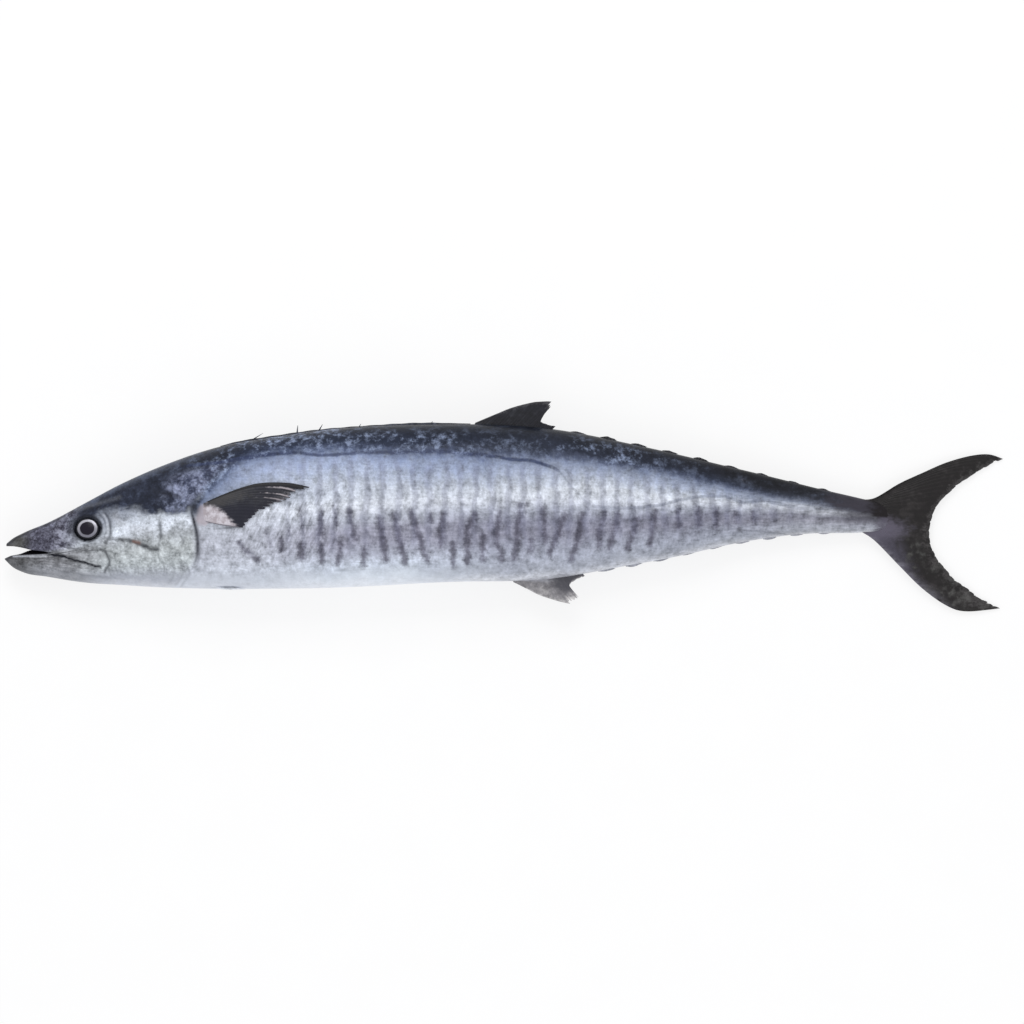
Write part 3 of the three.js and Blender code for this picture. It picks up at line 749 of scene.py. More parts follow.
# %% Rows inside the mouth
LINING_ROWS = 26
inner = np.linspace(1, 0, LINING_ROWS + 1)[:-1, None]  # 1 at the throat, and just over 0 behind the lips
rim_h, rim_z = high[0], raised[0]
inner_s = lip + (THROAT[0] - lip) * inner
inward = soft_step(inner, 0, 0.55)
roof = UPPER_LIP(np.minimum(inner_s, CORNER[0])) + 1.2 * inward * (1 - soft_step(inner_s, 18, 30))
bed = LOWER_LIP(np.minimum(inner_s, CORNER[0]))
bed = bed + (MOUTH_FLOOR(inner_s) - bed) * inward
settled = np.minimum(1, inner * 7)
inner_h = rim_h + (np.where(is_upper, roof, bed) - rim_h) * settled
inner_h = inner_h + (THROAT[1] - inner_h) * soft_step(inner, 0.85, 1)
inner_middle = backbone_height(inner_s)
inner_z = inner_middle + (rim_z - backbone_height(lip)) * (1 - inner) ** 0.7
print("lining rows:", inner_z.shape)

# %% [markdown]
# The lining's rows and the body's rows make one grid. A pole closes it at the throat and another at the
# end of the tail root.

# %% Joining the skin
all_s = np.concatenate([inner_s, along])
all_h = np.concatenate([inner_h, high])
all_z = np.concatenate([inner_z, raised])
rows = len(all_s)
grid = placed(all_s, all_h, all_z).reshape(-1, 3)
throat = placed(THROAT[0], THROAT[1], backbone_height(THROAT[0]))
tail_end = placed(LENGTH + 0.3, all_h[-1].mean(), all_z[-1].mean())
skin_points = np.concatenate([grid, [throat, tail_end]])
body_squares = squares(rows, AROUND, around=True)
print("skin squares:", len(body_squares), "=", 2 * len(body_squares), "triangles")

# %% [markdown]
# Each point carries numbers that say where it lies: how high on the flank, how far above the limit of the
# dark back, how near to a bar, to the gill cover's edge or to a fold. The finish turns them into colours.

# %% Numbers for the finish
GILL_CORNER, FIN_FLESH = (191, 2), (201, -6)

surface_s, surface_h = all_s, all_h
top, bottom = back_at(surface_s), belly_at(surface_s)
height_share = (surface_h - bottom) / (top - bottom)
slimness = 160 / (top - bottom + 8)  # 1 on the trunk, and more where the body is less deep
above_limit = (surface_h - smooth_line(BACK_LIMIT)(surface_s)) * np.clip(slimness, 1, 2.4) ** 0.5
lateral = surface_h - smooth_line(LATERAL_LINE)(surface_s)
# Painted shade: darkness where shade falls in the folds, under the gill cover's edge, in its corner, round
# the eye's socket and in the nostril.
fold = np.zeros_like(surface_s)
for points, width, dark, _ in FOLDS:
    fold = np.maximum(fold, dark * ridge(distance(points, *unsteady(surface_s, surface_h)), width))
behind = gill_gap(surface_s, surface_h)
gill_fade = soft_step(surface_h, -62, -38) * (1 - soft_step(surface_h, 8, 14))
fold = np.maximum(fold, 0.96 * gill_fade * ridge(behind - 1.2, 2.2))
fold = np.maximum(fold, 1.05 * ridge(oval_gap(surface_s, surface_h, GILL_CORNER, 6, 8), 1.0))
flesh = ridge(oval_gap(surface_s, surface_h, FIN_FLESH, 9, 10), 1.0)
socket = eye_share(surface_s, surface_h)
fold = np.maximum(fold, 0.95 * ridge(np.maximum(socket - 1.08, 0), 0.12))
fold = np.maximum(fold, 0.42 * ridge(np.maximum(socket - 1.0, 0), 0.5))
fold = np.maximum(fold, 0.8 * ridge(oval_gap(surface_s, surface_h, NOSTRIL, 1.8, 1.2), 1.0))
light = np.zeros_like(surface_s)
for points, width, bright in LIGHT_LINES:
    light = np.maximum(light, bright * ridge(distance(points, surface_s, surface_h), width))
stain = ridge(distance([(130, -31.2), (136, -32.6)], surface_s, surface_h), 1.6)
# Painted shade: this marks the lining inside the mouth, which its finish paints near black for the shade in
# the closed mouth.
inside = np.zeros_like(surface_s)
inside[:LINING_ROWS] = np.minimum(1, (inner + 0.02) * 20)


def with_poles(values, front, back):
    """The grid's numbers, then those of its two poles."""
    return np.concatenate([np.ravel(values), [front, back]])


skin_marks = {
    "height_share": with_poles(height_share, 0.5, 0.5),
    "above_limit": with_poles(above_limit, -30, -5),
    "lateral": with_poles(lateral, 50, 0),
    "bars": with_poles(bar_distance(surface_s, surface_h), NO_BAR, NO_BAR),
    "behind_gill": with_poles(behind, -100, 600),
    "fold": with_poles(fold, 0, 0),
    "light": with_poles(light, 0, 0),
    "stain": with_poles(stain, 0, 0),
    "flesh": with_poles(flesh, 0, 0),
    "inside": with_poles(inside, 1, 0),
}
print("marks:", ", ".join(skin_marks))

# %% [markdown]
# ## Finish of the skin
#
# A mackerel's skin has scales too small to see, and shines like brushed tin under a thin clear coat of
# slime. Two ramps lay down the countershading: one by the share of the height for the belly and lower
# flank, one by the distance from the dark back's limit for the shoulder. Clouds of noise break up every
# edge.
#
# The finish is built in layers, in the order in which they are written down. Every layer takes the colour
# so far and gives it back changed. What they all read, such as the place along the fish and the noises, is
# kept on the finish.


# %% What the layers read
LAYERS = []


def layer(recolour):
    """Marks a function as the next layer of the skin."""
    LAYERS.append(recolour)
    print("layer", len(LAYERS), "is", recolour.__name__)
    return recolour


def fish_place(f, axis, zero):
    """Millimetres along one axis of the frame, counted from the fish's own zero."""
    place = f.node("SeparateXYZ", {}, {0: f.node("TexCoord", out="Object")}, out=axis)
    return place * (1 / MM) - zero


def start_skin():
    """The skin's finish with its places, its noises from coarse to fine, and its three regions."""
    f = Finish("wet_skin")
    f.s = fish_place(f, "X", START)
    f.share, f.limit = f.mark("height_share"), f.mark("above_limit")
    f.cloud, f.mottle = f.noise(38, 4), f.noise(10, 4, 0.6, offset=3.0)
    f.wet, f.fine = f.noise(8, 6, 0.75, offset=21.0), f.noise(2.4, 3, 0.65, offset=7.0)
    f.upright = f.noise(5, 3, 0.55, stretch=(1, 2.8, 1), offset=11.0)
    f.streak = f.noise(2.2, 3, 0.6, stretch=(9, 1, 1), offset=5.0)
    over_back = f.smooth(f.share, 0.8, 0.95)
    blurred = f.mark("behind_gill") + f.mottle * (4 + over_back * 60) + f.cloud * over_back * 40
    f.is_head = 1 - f.smooth(blurred, -6 - over_back * 34, 4 + over_back * 30)
    f.is_rear = f.smooth(f.s + f.cloud * 60, 600, 740)
    f.front = 1 - f.smooth(f.s + f.cloud * 60, 230, 340)
    return f


print("the jaws' tips, where s is 0, lie", round(START, 1), "mm along the frame")

# %% [markdown]
# Countershading comes first. Two ramps colour the lower flank, one for the fore part and one for the rear,
# and a third the shoulder. Then the blue fades towards the tail.


# %% Layer: belly, flank and dark back
def countershade(f):
    """The belly and lower flank by height, paler in front, and the shoulder by the back's limit."""
    fore = f.ramp(f.share + f.cloud * 0.1, [
        (0.0, tone(226, 231, 240)), (0.06, tone(212, 220, 232)), (0.13, tone(190, 198, 213)),
        (0.2, tone(160, 164, 180)), (0.28, tone(150, 151, 168)), (0.36, tone(156, 157, 174)),
        (0.44, tone(184, 189, 203)), (0.52, tone(216, 221, 232)), (0.62, tone(206, 213, 226)),
    ])
    aft = f.ramp(f.share + f.cloud * 0.1, [
        (0.0, tone(204, 207, 216)), (0.06, tone(170, 175, 188)), (0.12, tone(156, 161, 176)),
        (0.2, tone(148, 152, 168)), (0.3, tone(141, 142, 159)), (0.38, tone(140, 142, 160)),
        (0.46, tone(176, 181, 196)), (0.53, tone(214, 219, 231)), (0.62, tone(210, 217, 229)),
    ])
    lower = f.mix(f.smooth(f.s + f.cloud * 80, 390, 520), fore, aft)
    lower = f.mix(f.front * 0.7, lower, tone(196, 201, 213))
    sharp = 1 + f.smooth(f.s, 530, 600) * 0.3
    broken = f.limit * sharp + f.mottle * 20 + f.cloud * 14 + f.upright * 12
    shoulder = f.ramp(broken * 0.01 + 0.5, [
        (0.1, tone(208, 215, 228)), (0.2, tone(184, 193, 211)), (0.3, tone(154, 165, 190)),
        (0.4, tone(118, 130, 158)), (0.47, tone(68, 78, 105)), (0.53, tone(34, 42, 62)),
        (0.7, tone(24, 29, 42)), (0.9, tone(18, 20, 29)),
    ])
    return f.mix(f.smooth(f.share + f.cloud * 0.08, 0.46, 0.64), lower, shoulder)


@layer
def soften_blue(f, colour):
    """Less blue behind the middle of the fish, a grey veil on the front shoulder, and a greyer rear."""
    wash = f.smooth(f.s, 430, 540) * f.smooth(f.share, 0.5, 0.6) * 0.15 + f.smooth(f.s, 700, 820) * 0.25
    colour = f.node("HueSaturation", {}, {"Saturation": 1 - wash, "Color": colour})
    drift = f.s + f.cloud * 40
    veil = (1 - f.smooth(drift, 240, 350)) * 0.26 + (1 - f.smooth(drift, 440, 570)) * 0.26
    veil = veil * f.smooth(f.share + f.cloud * 0.08, 0.5, 0.64)
    veil = veil * (1 - f.smooth(f.limit + f.mottle * 20, -16, -4))
    colour = f.mix(veil, colour, tone(104, 113, 137))
    under = f.is_rear * (1 - f.smooth(f.share, 0.5, 0.62))
    return f.mix(under * 0.18, colour, tone(100, 102, 114))


# %% [markdown]
# The head's own colours reach back to the gill cover's edge. Over the back that limit is blurred widely,
# since nothing marks it there, and the nape breaks up into patches.


# %% Layer: head
@layer
def head(f, colour):
    """The cheek by height under a dark cap, with the snout and the lower jaw in front."""
    cheek = f.ramp(f.share + f.mottle * 0.16, [
        (0.0, tone(204, 208, 218)), (0.08, tone(172, 177, 189)), (0.2, tone(182, 189, 194)),
        (0.32, tone(186, 192, 196)), (0.43, tone(172, 177, 184)), (0.52, tone(212, 219, 231)),
        (0.58, tone(200, 207, 219)), (0.68, tone(150, 156, 169)), (0.86, tone(84, 90, 104)),
    ])
    cap = f.mix(f.smooth(f.share + f.mottle * 0.06, 0.92, 0.985), tone(34, 39, 54), tone(62, 69, 86))
    cheek = f.mix(f.smooth(f.limit + f.mottle * 20 + f.streak * 6, -6, 5), cheek, cap)
    snout = f.mix(f.smooth(f.wet + f.fine * 0.8, -0.26, 0.3), tone(58, 56, 71), tone(112, 113, 130))
    snout = f.mix(1 - f.smooth(f.s + f.mottle * 10, 14, 30), snout, tone(84, 84, 84))
    silvered = f.smooth(f.s, 40, 62) * f.smooth(f.wet + f.mottle, -0.1, 0.16)
    snout = f.mix(silvered * 0.6, snout, tone(162, 165, 181))
    on_snout = (1 - f.smooth(f.s + f.mottle * 30, 56, 84)) * f.smooth(f.share, 0.36, 0.52)
    cheek = f.mix(on_snout, cheek, snout)
    low_on_jaw = f.smooth(f.share + f.mottle * 0.1, 0.1, 0.34)
    jaw = f.mix(low_on_jaw, tone(140, 143, 151), tone(104, 105, 109))
    jaw = f.mix(f.smooth(f.streak + f.mottle * 0.5, -0.14, 0.2) * 0.7, jaw, tone(160, 162, 169))
    jaw = f.mix((1 - f.smooth(f.s + f.mottle * 8, 6, 44)) * 0.75, jaw, tone(70, 70, 71))
    on_jaw = (1 - f.smooth(f.s + f.mottle * 24, 60, 124)) * (1 - f.smooth(f.share, 0.4, 0.5))
    return f.mix(f.is_head, colour, f.mix(on_jaw, cheek, jaw))


@layer
def nape(f, colour):
    """Behind the head the dark cap breaks up into blue and lilac patches."""
    on_nape = f.smooth(f.s + f.mottle * 40, 152, 182) * (1 - f.smooth(f.s + f.mottle * 40, 208, 250))
    on_nape = on_nape * f.smooth(f.limit + f.mottle * 16, -3, 10)
    on_nape = on_nape * (1 - f.smooth(f.share + f.mottle * 0.1, 0.82, 0.93))
    is_lilac = f.smooth(f.mottle * 1.1 + f.wet * 0.7 + f.cloud * 0.5, -0.16, 0.2)
    patches = f.mix(is_lilac, tone(62, 69, 95), tone(140, 147, 174))
    return f.mix(on_nape * 0.85, colour, patches)


# %% [markdown]
# The bars follow the distances worked out above, torn at the edges by noise. Between and above them a sine
# along the fish adds fainter ones.


# %% Layer: bars and lateral line
FAINT_BAR_STEP = 15.6


@layer
def bars(f, colour):
    """Dark bars on the lower flank, and a sine along the fish for the faint ones above them."""
    torn = f.mark("bars") + f.upright * 2 + f.mottle * 6 + f.wet * 6 + f.streak * 2
    colour = f.mix((1 - f.smooth(torn, -2.4, 3.4)) * 0.78, colour, tone(78, 76, 92))
    wave = (f.s + f.cloud * 18 + f.upright * 6 + f.mottle * 5) * (2 * np.pi / FAINT_BAR_STEP)
    faint = f.smooth(f.node("Math", {"operation": "SINE"}, {0: wave}), -0.3, 1.0)
    faint = faint * f.smooth(f.s, 240, 320) * (1 - f.smooth(f.s, 760, 830))
    band = f.smooth(f.share, 0.16, 0.34) * (1 - f.smooth(f.limit, -22, -6))
    return f.mix(faint * band * 0.4, colour, tone(100, 102, 124))


@layer
def lateral_line(f, colour):
    """A dark line, faint where it dips behind the second dorsal fin, and gone before the tail."""
    gap = f.node("Math", {"operation": "ABSOLUTE"}, {0: f.mark("lateral") + f.mottle * 4})
    along_line = 1 - f.smooth(f.s, 535, 562) * 0.78 + f.smooth(f.s, 600, 640) * 0.2
    on_line = (1 - f.smooth(gap, 0.7, 2.6)) * f.smooth(f.s, 170, 200) * along_line
    on_line = on_line * (1 - f.smooth(f.s, 780, 850)) * f.smooth(f.mottle + 0.5, 0.15, 0.4)
    return f.mix(on_line * 0.88, colour, tone(48, 57, 86))


# %% [markdown]
# Light on the wet back is painted as pale scribbles, a painted highlight. Under them, and everywhere else,
# lies the skin's own grain.


# %% Layer: the wet back, with its painted highlights
@layer
def dark_rear_and_painted_sheen(f, colour):
    """A deeper rear back, and pale scribbles painted where the wet back catches the light: painted
    highlights.
    """
    colour = f.mix(f.is_rear * f.smooth(f.limit, 0, 12) * 0.55, colour, tone(18, 18, 23))
    # Painted highlight: pale blue scribbles stand for light reflected by the wet skin over the back.
    painted_sheen = f.smooth(f.wet * 1.5 + f.mottle * 0.5 + f.cloud * 0.8, -0.08, 0.3)
    fading_up = 1 - f.smooth(f.limit, 12, 22) * (0.85 - f.front * 0.4)
    on_back = f.smooth(f.limit, -12, -2) * fading_up * (1 - f.is_rear * 0.7) * (1 - f.is_head * 0.9)
    blue_again = f.smooth(f.s, 530, 570) * (1 - f.smooth(f.s + f.cloud * 40, 620, 680))
    on_back = on_back * (1 - f.smooth(f.s, 420, 500) * 0.5 + blue_again * 0.7)
    return f.mix(painted_sheen * on_back * (0.6 + f.front * 0.25), colour, tone(138, 151, 180))


@layer
def grain(f, colour):
    """The skin's own grain, which multiplies the colour. Slanted streaks join it behind the pectoral
    fin, and the belly stays calm."""
    texture = 1 + f.mottle * 1.4 + f.wet * 1.3 + f.upright * (0.8 - f.is_head * 0.6) + f.fine * 0.8
    texture = texture + f.streak * (0.5 + f.is_rear * 0.5) + f.is_head * (f.wet * 0.6 + f.fine * 0.6)
    slant = f.noise(2.6, 3, 0.6, stretch=(1, 4.5, 1), offset=17.0, lean=0.44)
    slanted = f.smooth(f.s, 212, 235) * (1 - f.smooth(f.s + f.cloud * 40, 300, 390))
    slanted = slanted * f.smooth(f.share, 0.14, 0.26) * (1 - f.smooth(f.share, 0.55, 0.7))
    texture = texture + slant * slanted * 1.5
    calm = (1 - f.smooth(f.share + f.cloud * 0.06, 0.07, 0.16)) * (1 - f.smooth(f.s, 420, 520) * 0.7)
    return f.mix(1 - calm * 0.75, colour, texture, "MULTIPLY")


# %% [markdown]
# Towards the tail fin the skin darkens in long streaks, first on the back and last on the belly.


# %% Layer: tail root
@layer
def tail_root_tint(f, colour):
    """The tail root darkens in streaks towards the fin, from the back down."""
    torn = f.noise(4, 3, 0.6, stretch=(5, 1, 1), offset=2.0) * 70
    ragged_share = f.share + f.mottle * 0.2
    upper_end = f.smooth(f.s + torn, 806, 850) * f.smooth(ragged_share, 0.5, 0.72)
    colour = f.mix(upper_end, colour, tone(28, 27, 32))
    middle_end = f.smooth(f.s + torn, 804, 856) * f.smooth(ragged_share, 0.18, 0.44)
    colour = f.mix(middle_end * 0.8, colour, tone(62, 60, 70))
    dark_end = f.smooth(f.s + torn * 0.5, 856, 876) * f.smooth(f.share, 0.36, 0.52)
    colour = f.mix(dark_end, colour, tone(30, 27, 30))
    pale_end = f.smooth(f.s + torn * 0.5, 866, 884) * (1 - f.smooth(ragged_share, 0.42, 0.54))
    return f.mix(pale_end * 0.85, colour, tone(86, 82, 96))


# %% [markdown]
# Folds come last, so that their lines of painted shade lie over every other layer.


# %% Layer: folds, and the whole skin
@layer
def folds(f, colour):
    """Flesh at the pectoral fin's root, painted shade in the folds, light ridges, one stain and the mouth's
    lining painted near black as shade.
    """
    colour = f.mix(f.smooth(f.mark("flesh") + f.mottle, 0.2, 0.6) * 0.8, colour, tone(176, 167, 176))
    # Painted shade: the folds are darkened where shade falls into them.
    colour = f.mix(f.mark("fold") * (0.9 + f.fine * 0.6 + f.mottle * 0.8), colour, tone(24, 26, 36))
    colour = f.mix(f.mark("light") * (0.7 + f.fine * 1.2), colour, tone(214, 218, 228))
    colour = f.mix(f.mark("stain") * 0.6, colour, tone(138, 92, 74))
    # Painted shade: the mouth's lining is near black.
    return f.mix(f.mark("inside"), colour, tone(22, 20, 24))


def skin_finish():
    """The countershading, then every layer over it, on a silvery surface under a thin wet coat."""
    f = start_skin()
    colour = countershade(f)
    for recolour in LAYERS:
        colour = recolour(f, colour)
    silver = (1 - f.smooth(f.limit, -20, 4)) * (1 - f.mark("inside")) * 0.35
    rough = 0.4 + f.mottle * 0.25 + f.fine * 0.15
    height = f.mottle * 0.5 + f.fine * 0.4 + f.upright * 0.35
    return f.close(
        colour, height, 0.6, Metallic=silver, Roughness=rough, Specular_IOR_Level=0.12,
        Coat_Weight=0.1, Coat_Roughness=0.18,
    )


body = piece(
    "skin", skin_points, [body_squares, *end_caps(rows, AROUND)], skin_finish(), ["body"],
    skin_marks,
)
print("skin:", len(body.data.vertices), "points")

# %% [markdown]
# ## Eyes
#
# A fish's eye is a flattened ball under a clear, wet surface: a black pupil, a silver iris and a dark
# ring where the skin begins. Each eye is a lens-shaped ball turned to face out of the cheek, with its
# rings of points round the middle of the pupil, so that a point's ring decides its colour.

# %% Eyes
EYE_THICKNESS, EYE_BULGE = 12.0, 2.0
PUPIL, IRIS = 0.55, 0.765  # shares of the eye's outline


def cheek_point(s, h, side):
    """A point of the plain cheek at s, h: along, height over the axis, and out from the backbone."""
    top, bottom = back_at(s), belly_at(s)
    reach = abs((2 * h - top - bottom) / (top - bottom))
    return np.array([s, h, side * half_width_at(s) * (1 - reach**FULLNESS) ** (1 / FULLNESS)])


def eye_points(side, rings=46, around=72):
    """A ball squashed to the eye's length, height and thickness, its pole along the cheek's normal, with
    a shallow dish between pupil and rim for the iris."""
    step, (s, h) = 5.0, EYE_AT
    along_cheek = cheek_point(s + step, h, side) - cheek_point(s - step, h, side)
    up_cheek = cheek_point(s, h + step, side) - cheek_point(s, h - step, side)
    out = np.cross(along_cheek, up_cheek) * side
    out /= np.linalg.norm(out)
    level = along_cheek / np.linalg.norm(along_cheek)
    up = np.cross(out, level)
    polar = np.linspace(0, np.pi, rings)[1:-1, None]
    angle = np.linspace(0, 2 * np.pi, around, endpoint=False)[None, :]
    share = np.sin(polar) * np.ones_like(angle)
    dish = 0.35 * ridge(share - (PUPIL + IRIS) / 2, 0.1) * (np.cos(polar) > 0)
    a = EYE_LENGTH / 2 * share * np.cos(angle)
    b = EYE_HEIGHT / 2 * share * np.sin(angle)
    c = EYE_THICKNESS / 2 * np.cos(polar) - dish
    middle = cheek_point(s, h, side) + out * (EYE_BULGE - EYE_THICKNESS / 2)
    grid = a[..., None] * level + b[..., None] * up + c[..., None] * out + middle
    poles = [middle + out * EYE_THICKNESS / 2, middle - out * EYE_THICKNESS / 2]
    points = np.concatenate([grid.reshape(-1, 3), poles])
    rows = rings - 2
    marks = {"ring": np.concatenate([np.where(np.cos(polar) > 0, share, 1.0).ravel(), [0, 1]])}
    z = points[:, 2] + backbone_height(EYE_AT[0])
    parts = [squares(rows, around, True), *end_caps(rows, around)]
    return placed(points[:, 0], points[:, 1], z), parts, marks


def eye_finish():
    """A black pupil, a silver iris with a painted highlight that makes it lighter above, and a dark rim, by
    the ring's share.
    """
    f = Finish("wet_eye")
    ring = f.mark("ring") + f.noise(3, 2) * 0.05
    # Painted highlight: the silver iris is lighter above, on the side where the light falls.
    upper = f.smooth(fish_place(f, "Y", AXIS), EYE_AT[1] - 9, EYE_AT[1] + 9)
    grain = f.noise(1.1, 3, 0.6)
    iris = f.mix(upper * 0.8 + grain * 0.6, tone(122, 122, 134), tone(190, 190, 199))
    colour = f.mix(f.smooth(ring, PUPIL - 0.03, PUPIL + 0.04), tone(22, 18, 32), iris)
    colour = f.mix(f.smooth(ring, IRIS - 0.05, IRIS + 0.03), colour, tone(16, 18, 26))
    metal = f.smooth(ring, PUPIL, PUPIL + 0.06) * (1 - f.smooth(ring, IRIS - 0.04, IRIS + 0.03)) * 0.4
    return f.close(
        colour, grain, 0.06, Metallic=metal, Roughness=0.35, Specular_IOR_Level=0.15, Coat_Weight=0.08,
        Coat_Roughness=0.2,
    )


eye_material = eye_finish()
for side, name in ((1, "left_eye"), (-1, "right_eye")):
    points, parts, marks = eye_points(side)
    shown = piece(name + "ball", points, parts, eye_material, [name], marks)
    print(shown.name, "top at", round(float(points[:, 2].max() / MM), 1))

# %% [markdown]
# ## Fins
#
# A fin is a thin web stretched over bony rays. Each one here is a blade: a grid from its root to its free
# edge, given a thickness and closed all round. The rays stand up a little as ribs, and the free edge is
# cut back between them, as a fin's edge frays. The outlines are the CAD part's own.


# %% Blades
rng = np.random.default_rng(7)
FIN_ROOT, FIN_EDGE = 2.4, 0.5


def straight_rays(root, edge):
    """Rays at u run straight from the root to the edge, by the share v."""
    return lambda u, v: root(u) + (edge(u) - root(u)) * v[..., None]


def bowed_rays(root, edge, first, last):
    """The straight rays between root and edge, pushed over by the bow of the first and the last ray,
    each in the share that a ray is near to it."""
    chord = straight_rays(root, edge)

    def ray(u, v):
        bow_first = first(v) - chord(0 * u, v)
        bow_last = last(v) - chord(0 * u + 1, v)
        return chord(u, v) + bow_first * (1 - u)[..., None] + bow_last * u[..., None]

    return ray


def in_middle(s, h, t):
    """Places a fin's points on the fish's middle plane, t to its left."""
    return placed(s, h, backbone_height(s) + t)


def blade(name, ray, place, material, replaces, count, ribs, steps=40, rib=0.25, fray=0.05, nick=0.4,
          fray_from=0.04, thick=FIN_ROOT, sink=None):
    """Two grids a thickness apart, joined round their four borders. Ribs rise as a cosine over the rays,
    and behind fray_from the free edge is drawn back by a random share at each ray, most between rays."""
    u = np.linspace(0, 1, count)[:, None] * np.ones(steps)[None, :]
    v = np.linspace(0, 1, steps)[None, :] * np.ones(count)[:, None]
    ragged = np.interp(u[:, 0] * ribs, np.arange(ribs + 1), rng.random(ribs + 1))
    between = np.abs(np.sin(np.pi * u[:, 0] * ribs)) ** 3
    reach = 1 - fray * ragged - fray * nick * between * rng.random(count)
    reach = np.where((u[:, 0] < fray_from) | (u[:, 0] > 0.97), 1.0, reach)
    at = ray(u, v * reach[:, None])
    half = (thick + (FIN_EDGE - thick) * v**0.6) / 2
    half = half * np.clip(np.minimum(u, 1 - u) * 14 + 0.35, 0, 1)
    wave = rib * np.cos(2 * np.pi * ribs * u) * np.clip(4 * v, 0, 1) * (1 - 0.5 * v)
    lower = 0 if sink is None else sink(u, v)
    faces = []
    for side in (1, -1):
        faces.append(place(at[..., 0], at[..., 1], side * half + wave + lower).reshape(-1, 3))
    points = np.concatenate(faces)
    size = count * steps
    front = squares(count, steps)
    back = front[:, ::-1] + size
    grid = np.arange(size).reshape(count, steps)
    border = np.concatenate([grid[:, 0], grid[-1, 1:], grid[-2::-1, -1], grid[0, -2:0:-1]])
    nxt = np.roll(border, -1)
    rim = np.stack([border, border + size, nxt + size, nxt], axis=-1)
    marks = {"ray": np.tile(u.ravel(), 2), "reach": np.tile(v.ravel(), 2)}
    return piece(name, points, [front, back, rim], material, replaces, marks)


print("fins are", FIN_ROOT, "mm thick at the root and", FIN_EDGE, "mm at the edge")


# %% [markdown]
# Fins are darker and duller than the skin. Between the rays the web is thin enough for some light to pass,
# which is painted as paler, warmer patches near the free edge. One recipe makes every fin's finish from
# four colours: the web, its lighter patches of painted light, the rays and the frayed edge.


# %% Fin finish
def fin_finish(name, web, painted_light_patch, ribs, edge, count=14, edge_from=0.82):
    """Cloudy paler patches on the web, painted for light that passes the thin web, a sine over count rays,
    an edge that is paler beyond edge_from, and a grain that multiplies the colour. It gives the finish, its
    colour, its bump and its roughness."""
    f = Finish(name)
    ray, reach = f.mark("ray"), f.mark("reach")
    cloud, mottle, fine = f.noise(22, 4), f.noise(6, 4, 0.6, offset=2.0), f.noise(1.6, 3, 0.6, offset=5.0)
    # Painted light: paler cloudy patches stand for light passing the thin web.
    colour = f.mix(f.smooth(cloud + mottle * 0.6, -0.02, 0.22), web, painted_light_patch)
    comb = f.node("Math", {"operation": "SINE"}, {0: (ray + mottle * 0.015) * (2 * np.pi * count)})
    colour = f.mix(f.smooth(comb, -0.4, 1.0) * (0.25 + fine * 0.5 + mottle * 0.5), colour, ribs)
    colour = f.mix(f.smooth(reach + mottle * 0.3 + fine * 0.2, edge_from, 1.0) * 0.7, colour, edge)
    colour = f.mix(1.0, colour, 1 + mottle * 1.4 + fine * 0.9, "MULTIPLY")
    rough = 0.55 + mottle * 0.25
    return f, colour, comb * 0.1 + fine * 0.5, rough


def close_fin(f, colour, height, rough, gloss=0.25, coat=0.08, coat_rough=0.3):
    """Ends a fin's finish with its bump of a third of a millimetre and its thin wet coat."""
    return f.close(
        colour, height, 0.35, Roughness=rough, Specular_IOR_Level=gloss, Coat_Weight=coat,
        Coat_Roughness=coat_rough,
    )


def plain_fin(*args, **kwargs):
    """A fin's finish with nothing added."""
    return close_fin(*fin_finish(*args, **kwargs))


dorsal_finish = plain_fin(
    "dorsal_web", tone(26, 27, 35), tone(42, 43, 50), tone(21, 22, 29), tone(76, 75, 79), count=12
)
print("first fin finish:", dorsal_finish.name)


def anal_finish():
    """Pale grey, darker towards the rear rays, and as pale as the belly at the root."""
    f, colour, height, rough = fin_finish(
        "anal_web", tone(140, 138, 142), tone(162, 160, 162), tone(118, 117, 124), tone(196, 194, 195),
        count=12,
    )
    ray, reach, mottle = f.mark("ray"), f.mark("reach"), f.noise(6, 4, 0.6, offset=14.0)
    rear = f.smooth(ray + mottle * 0.3, 0.3, 0.6) * (1 - f.smooth(reach + mottle * 0.4, 0.6, 0.95))
    colour = f.mix(rear * 0.9, colour, tone(70, 70, 78))
    at_root = (1 - f.smooth(reach + mottle * 0.2, 0.05, 0.3)) * (1 - rear)
    colour = f.mix(at_root, colour, tone(176, 178, 188))
    return close_fin(f, colour, height, rough, gloss=0.2)


# %% [markdown]
# The second dorsal fin is swept like a sickle, and the anal fin below mirrors it a little further back.
# Both have a ragged back edge, so their outlines turn inwards there.


# %% Second dorsal and anal fins
SECOND_DORSAL_AT, SECOND_DORSAL_LENGTH, SECOND_DORSAL_HEIGHT = 0.527, 82.0, 27.0
ANAL_AT, ANAL_LENGTH, ANAL_HEIGHT = 0.57, 73.0, 28.0


def fin_lines(start, length, height, surface, out, root, edge):
    """Root and edge points, given as shares of a fin's length and height, on the back or the belly."""

    def spread(points):
        p = np.array(points, float)
        s = start + p[:, 0] * length
        return curve(np.stack([s, surface(s) + out * p[:, 1] * height], axis=-1))

    return straight_rays(spread(root), spread(edge))


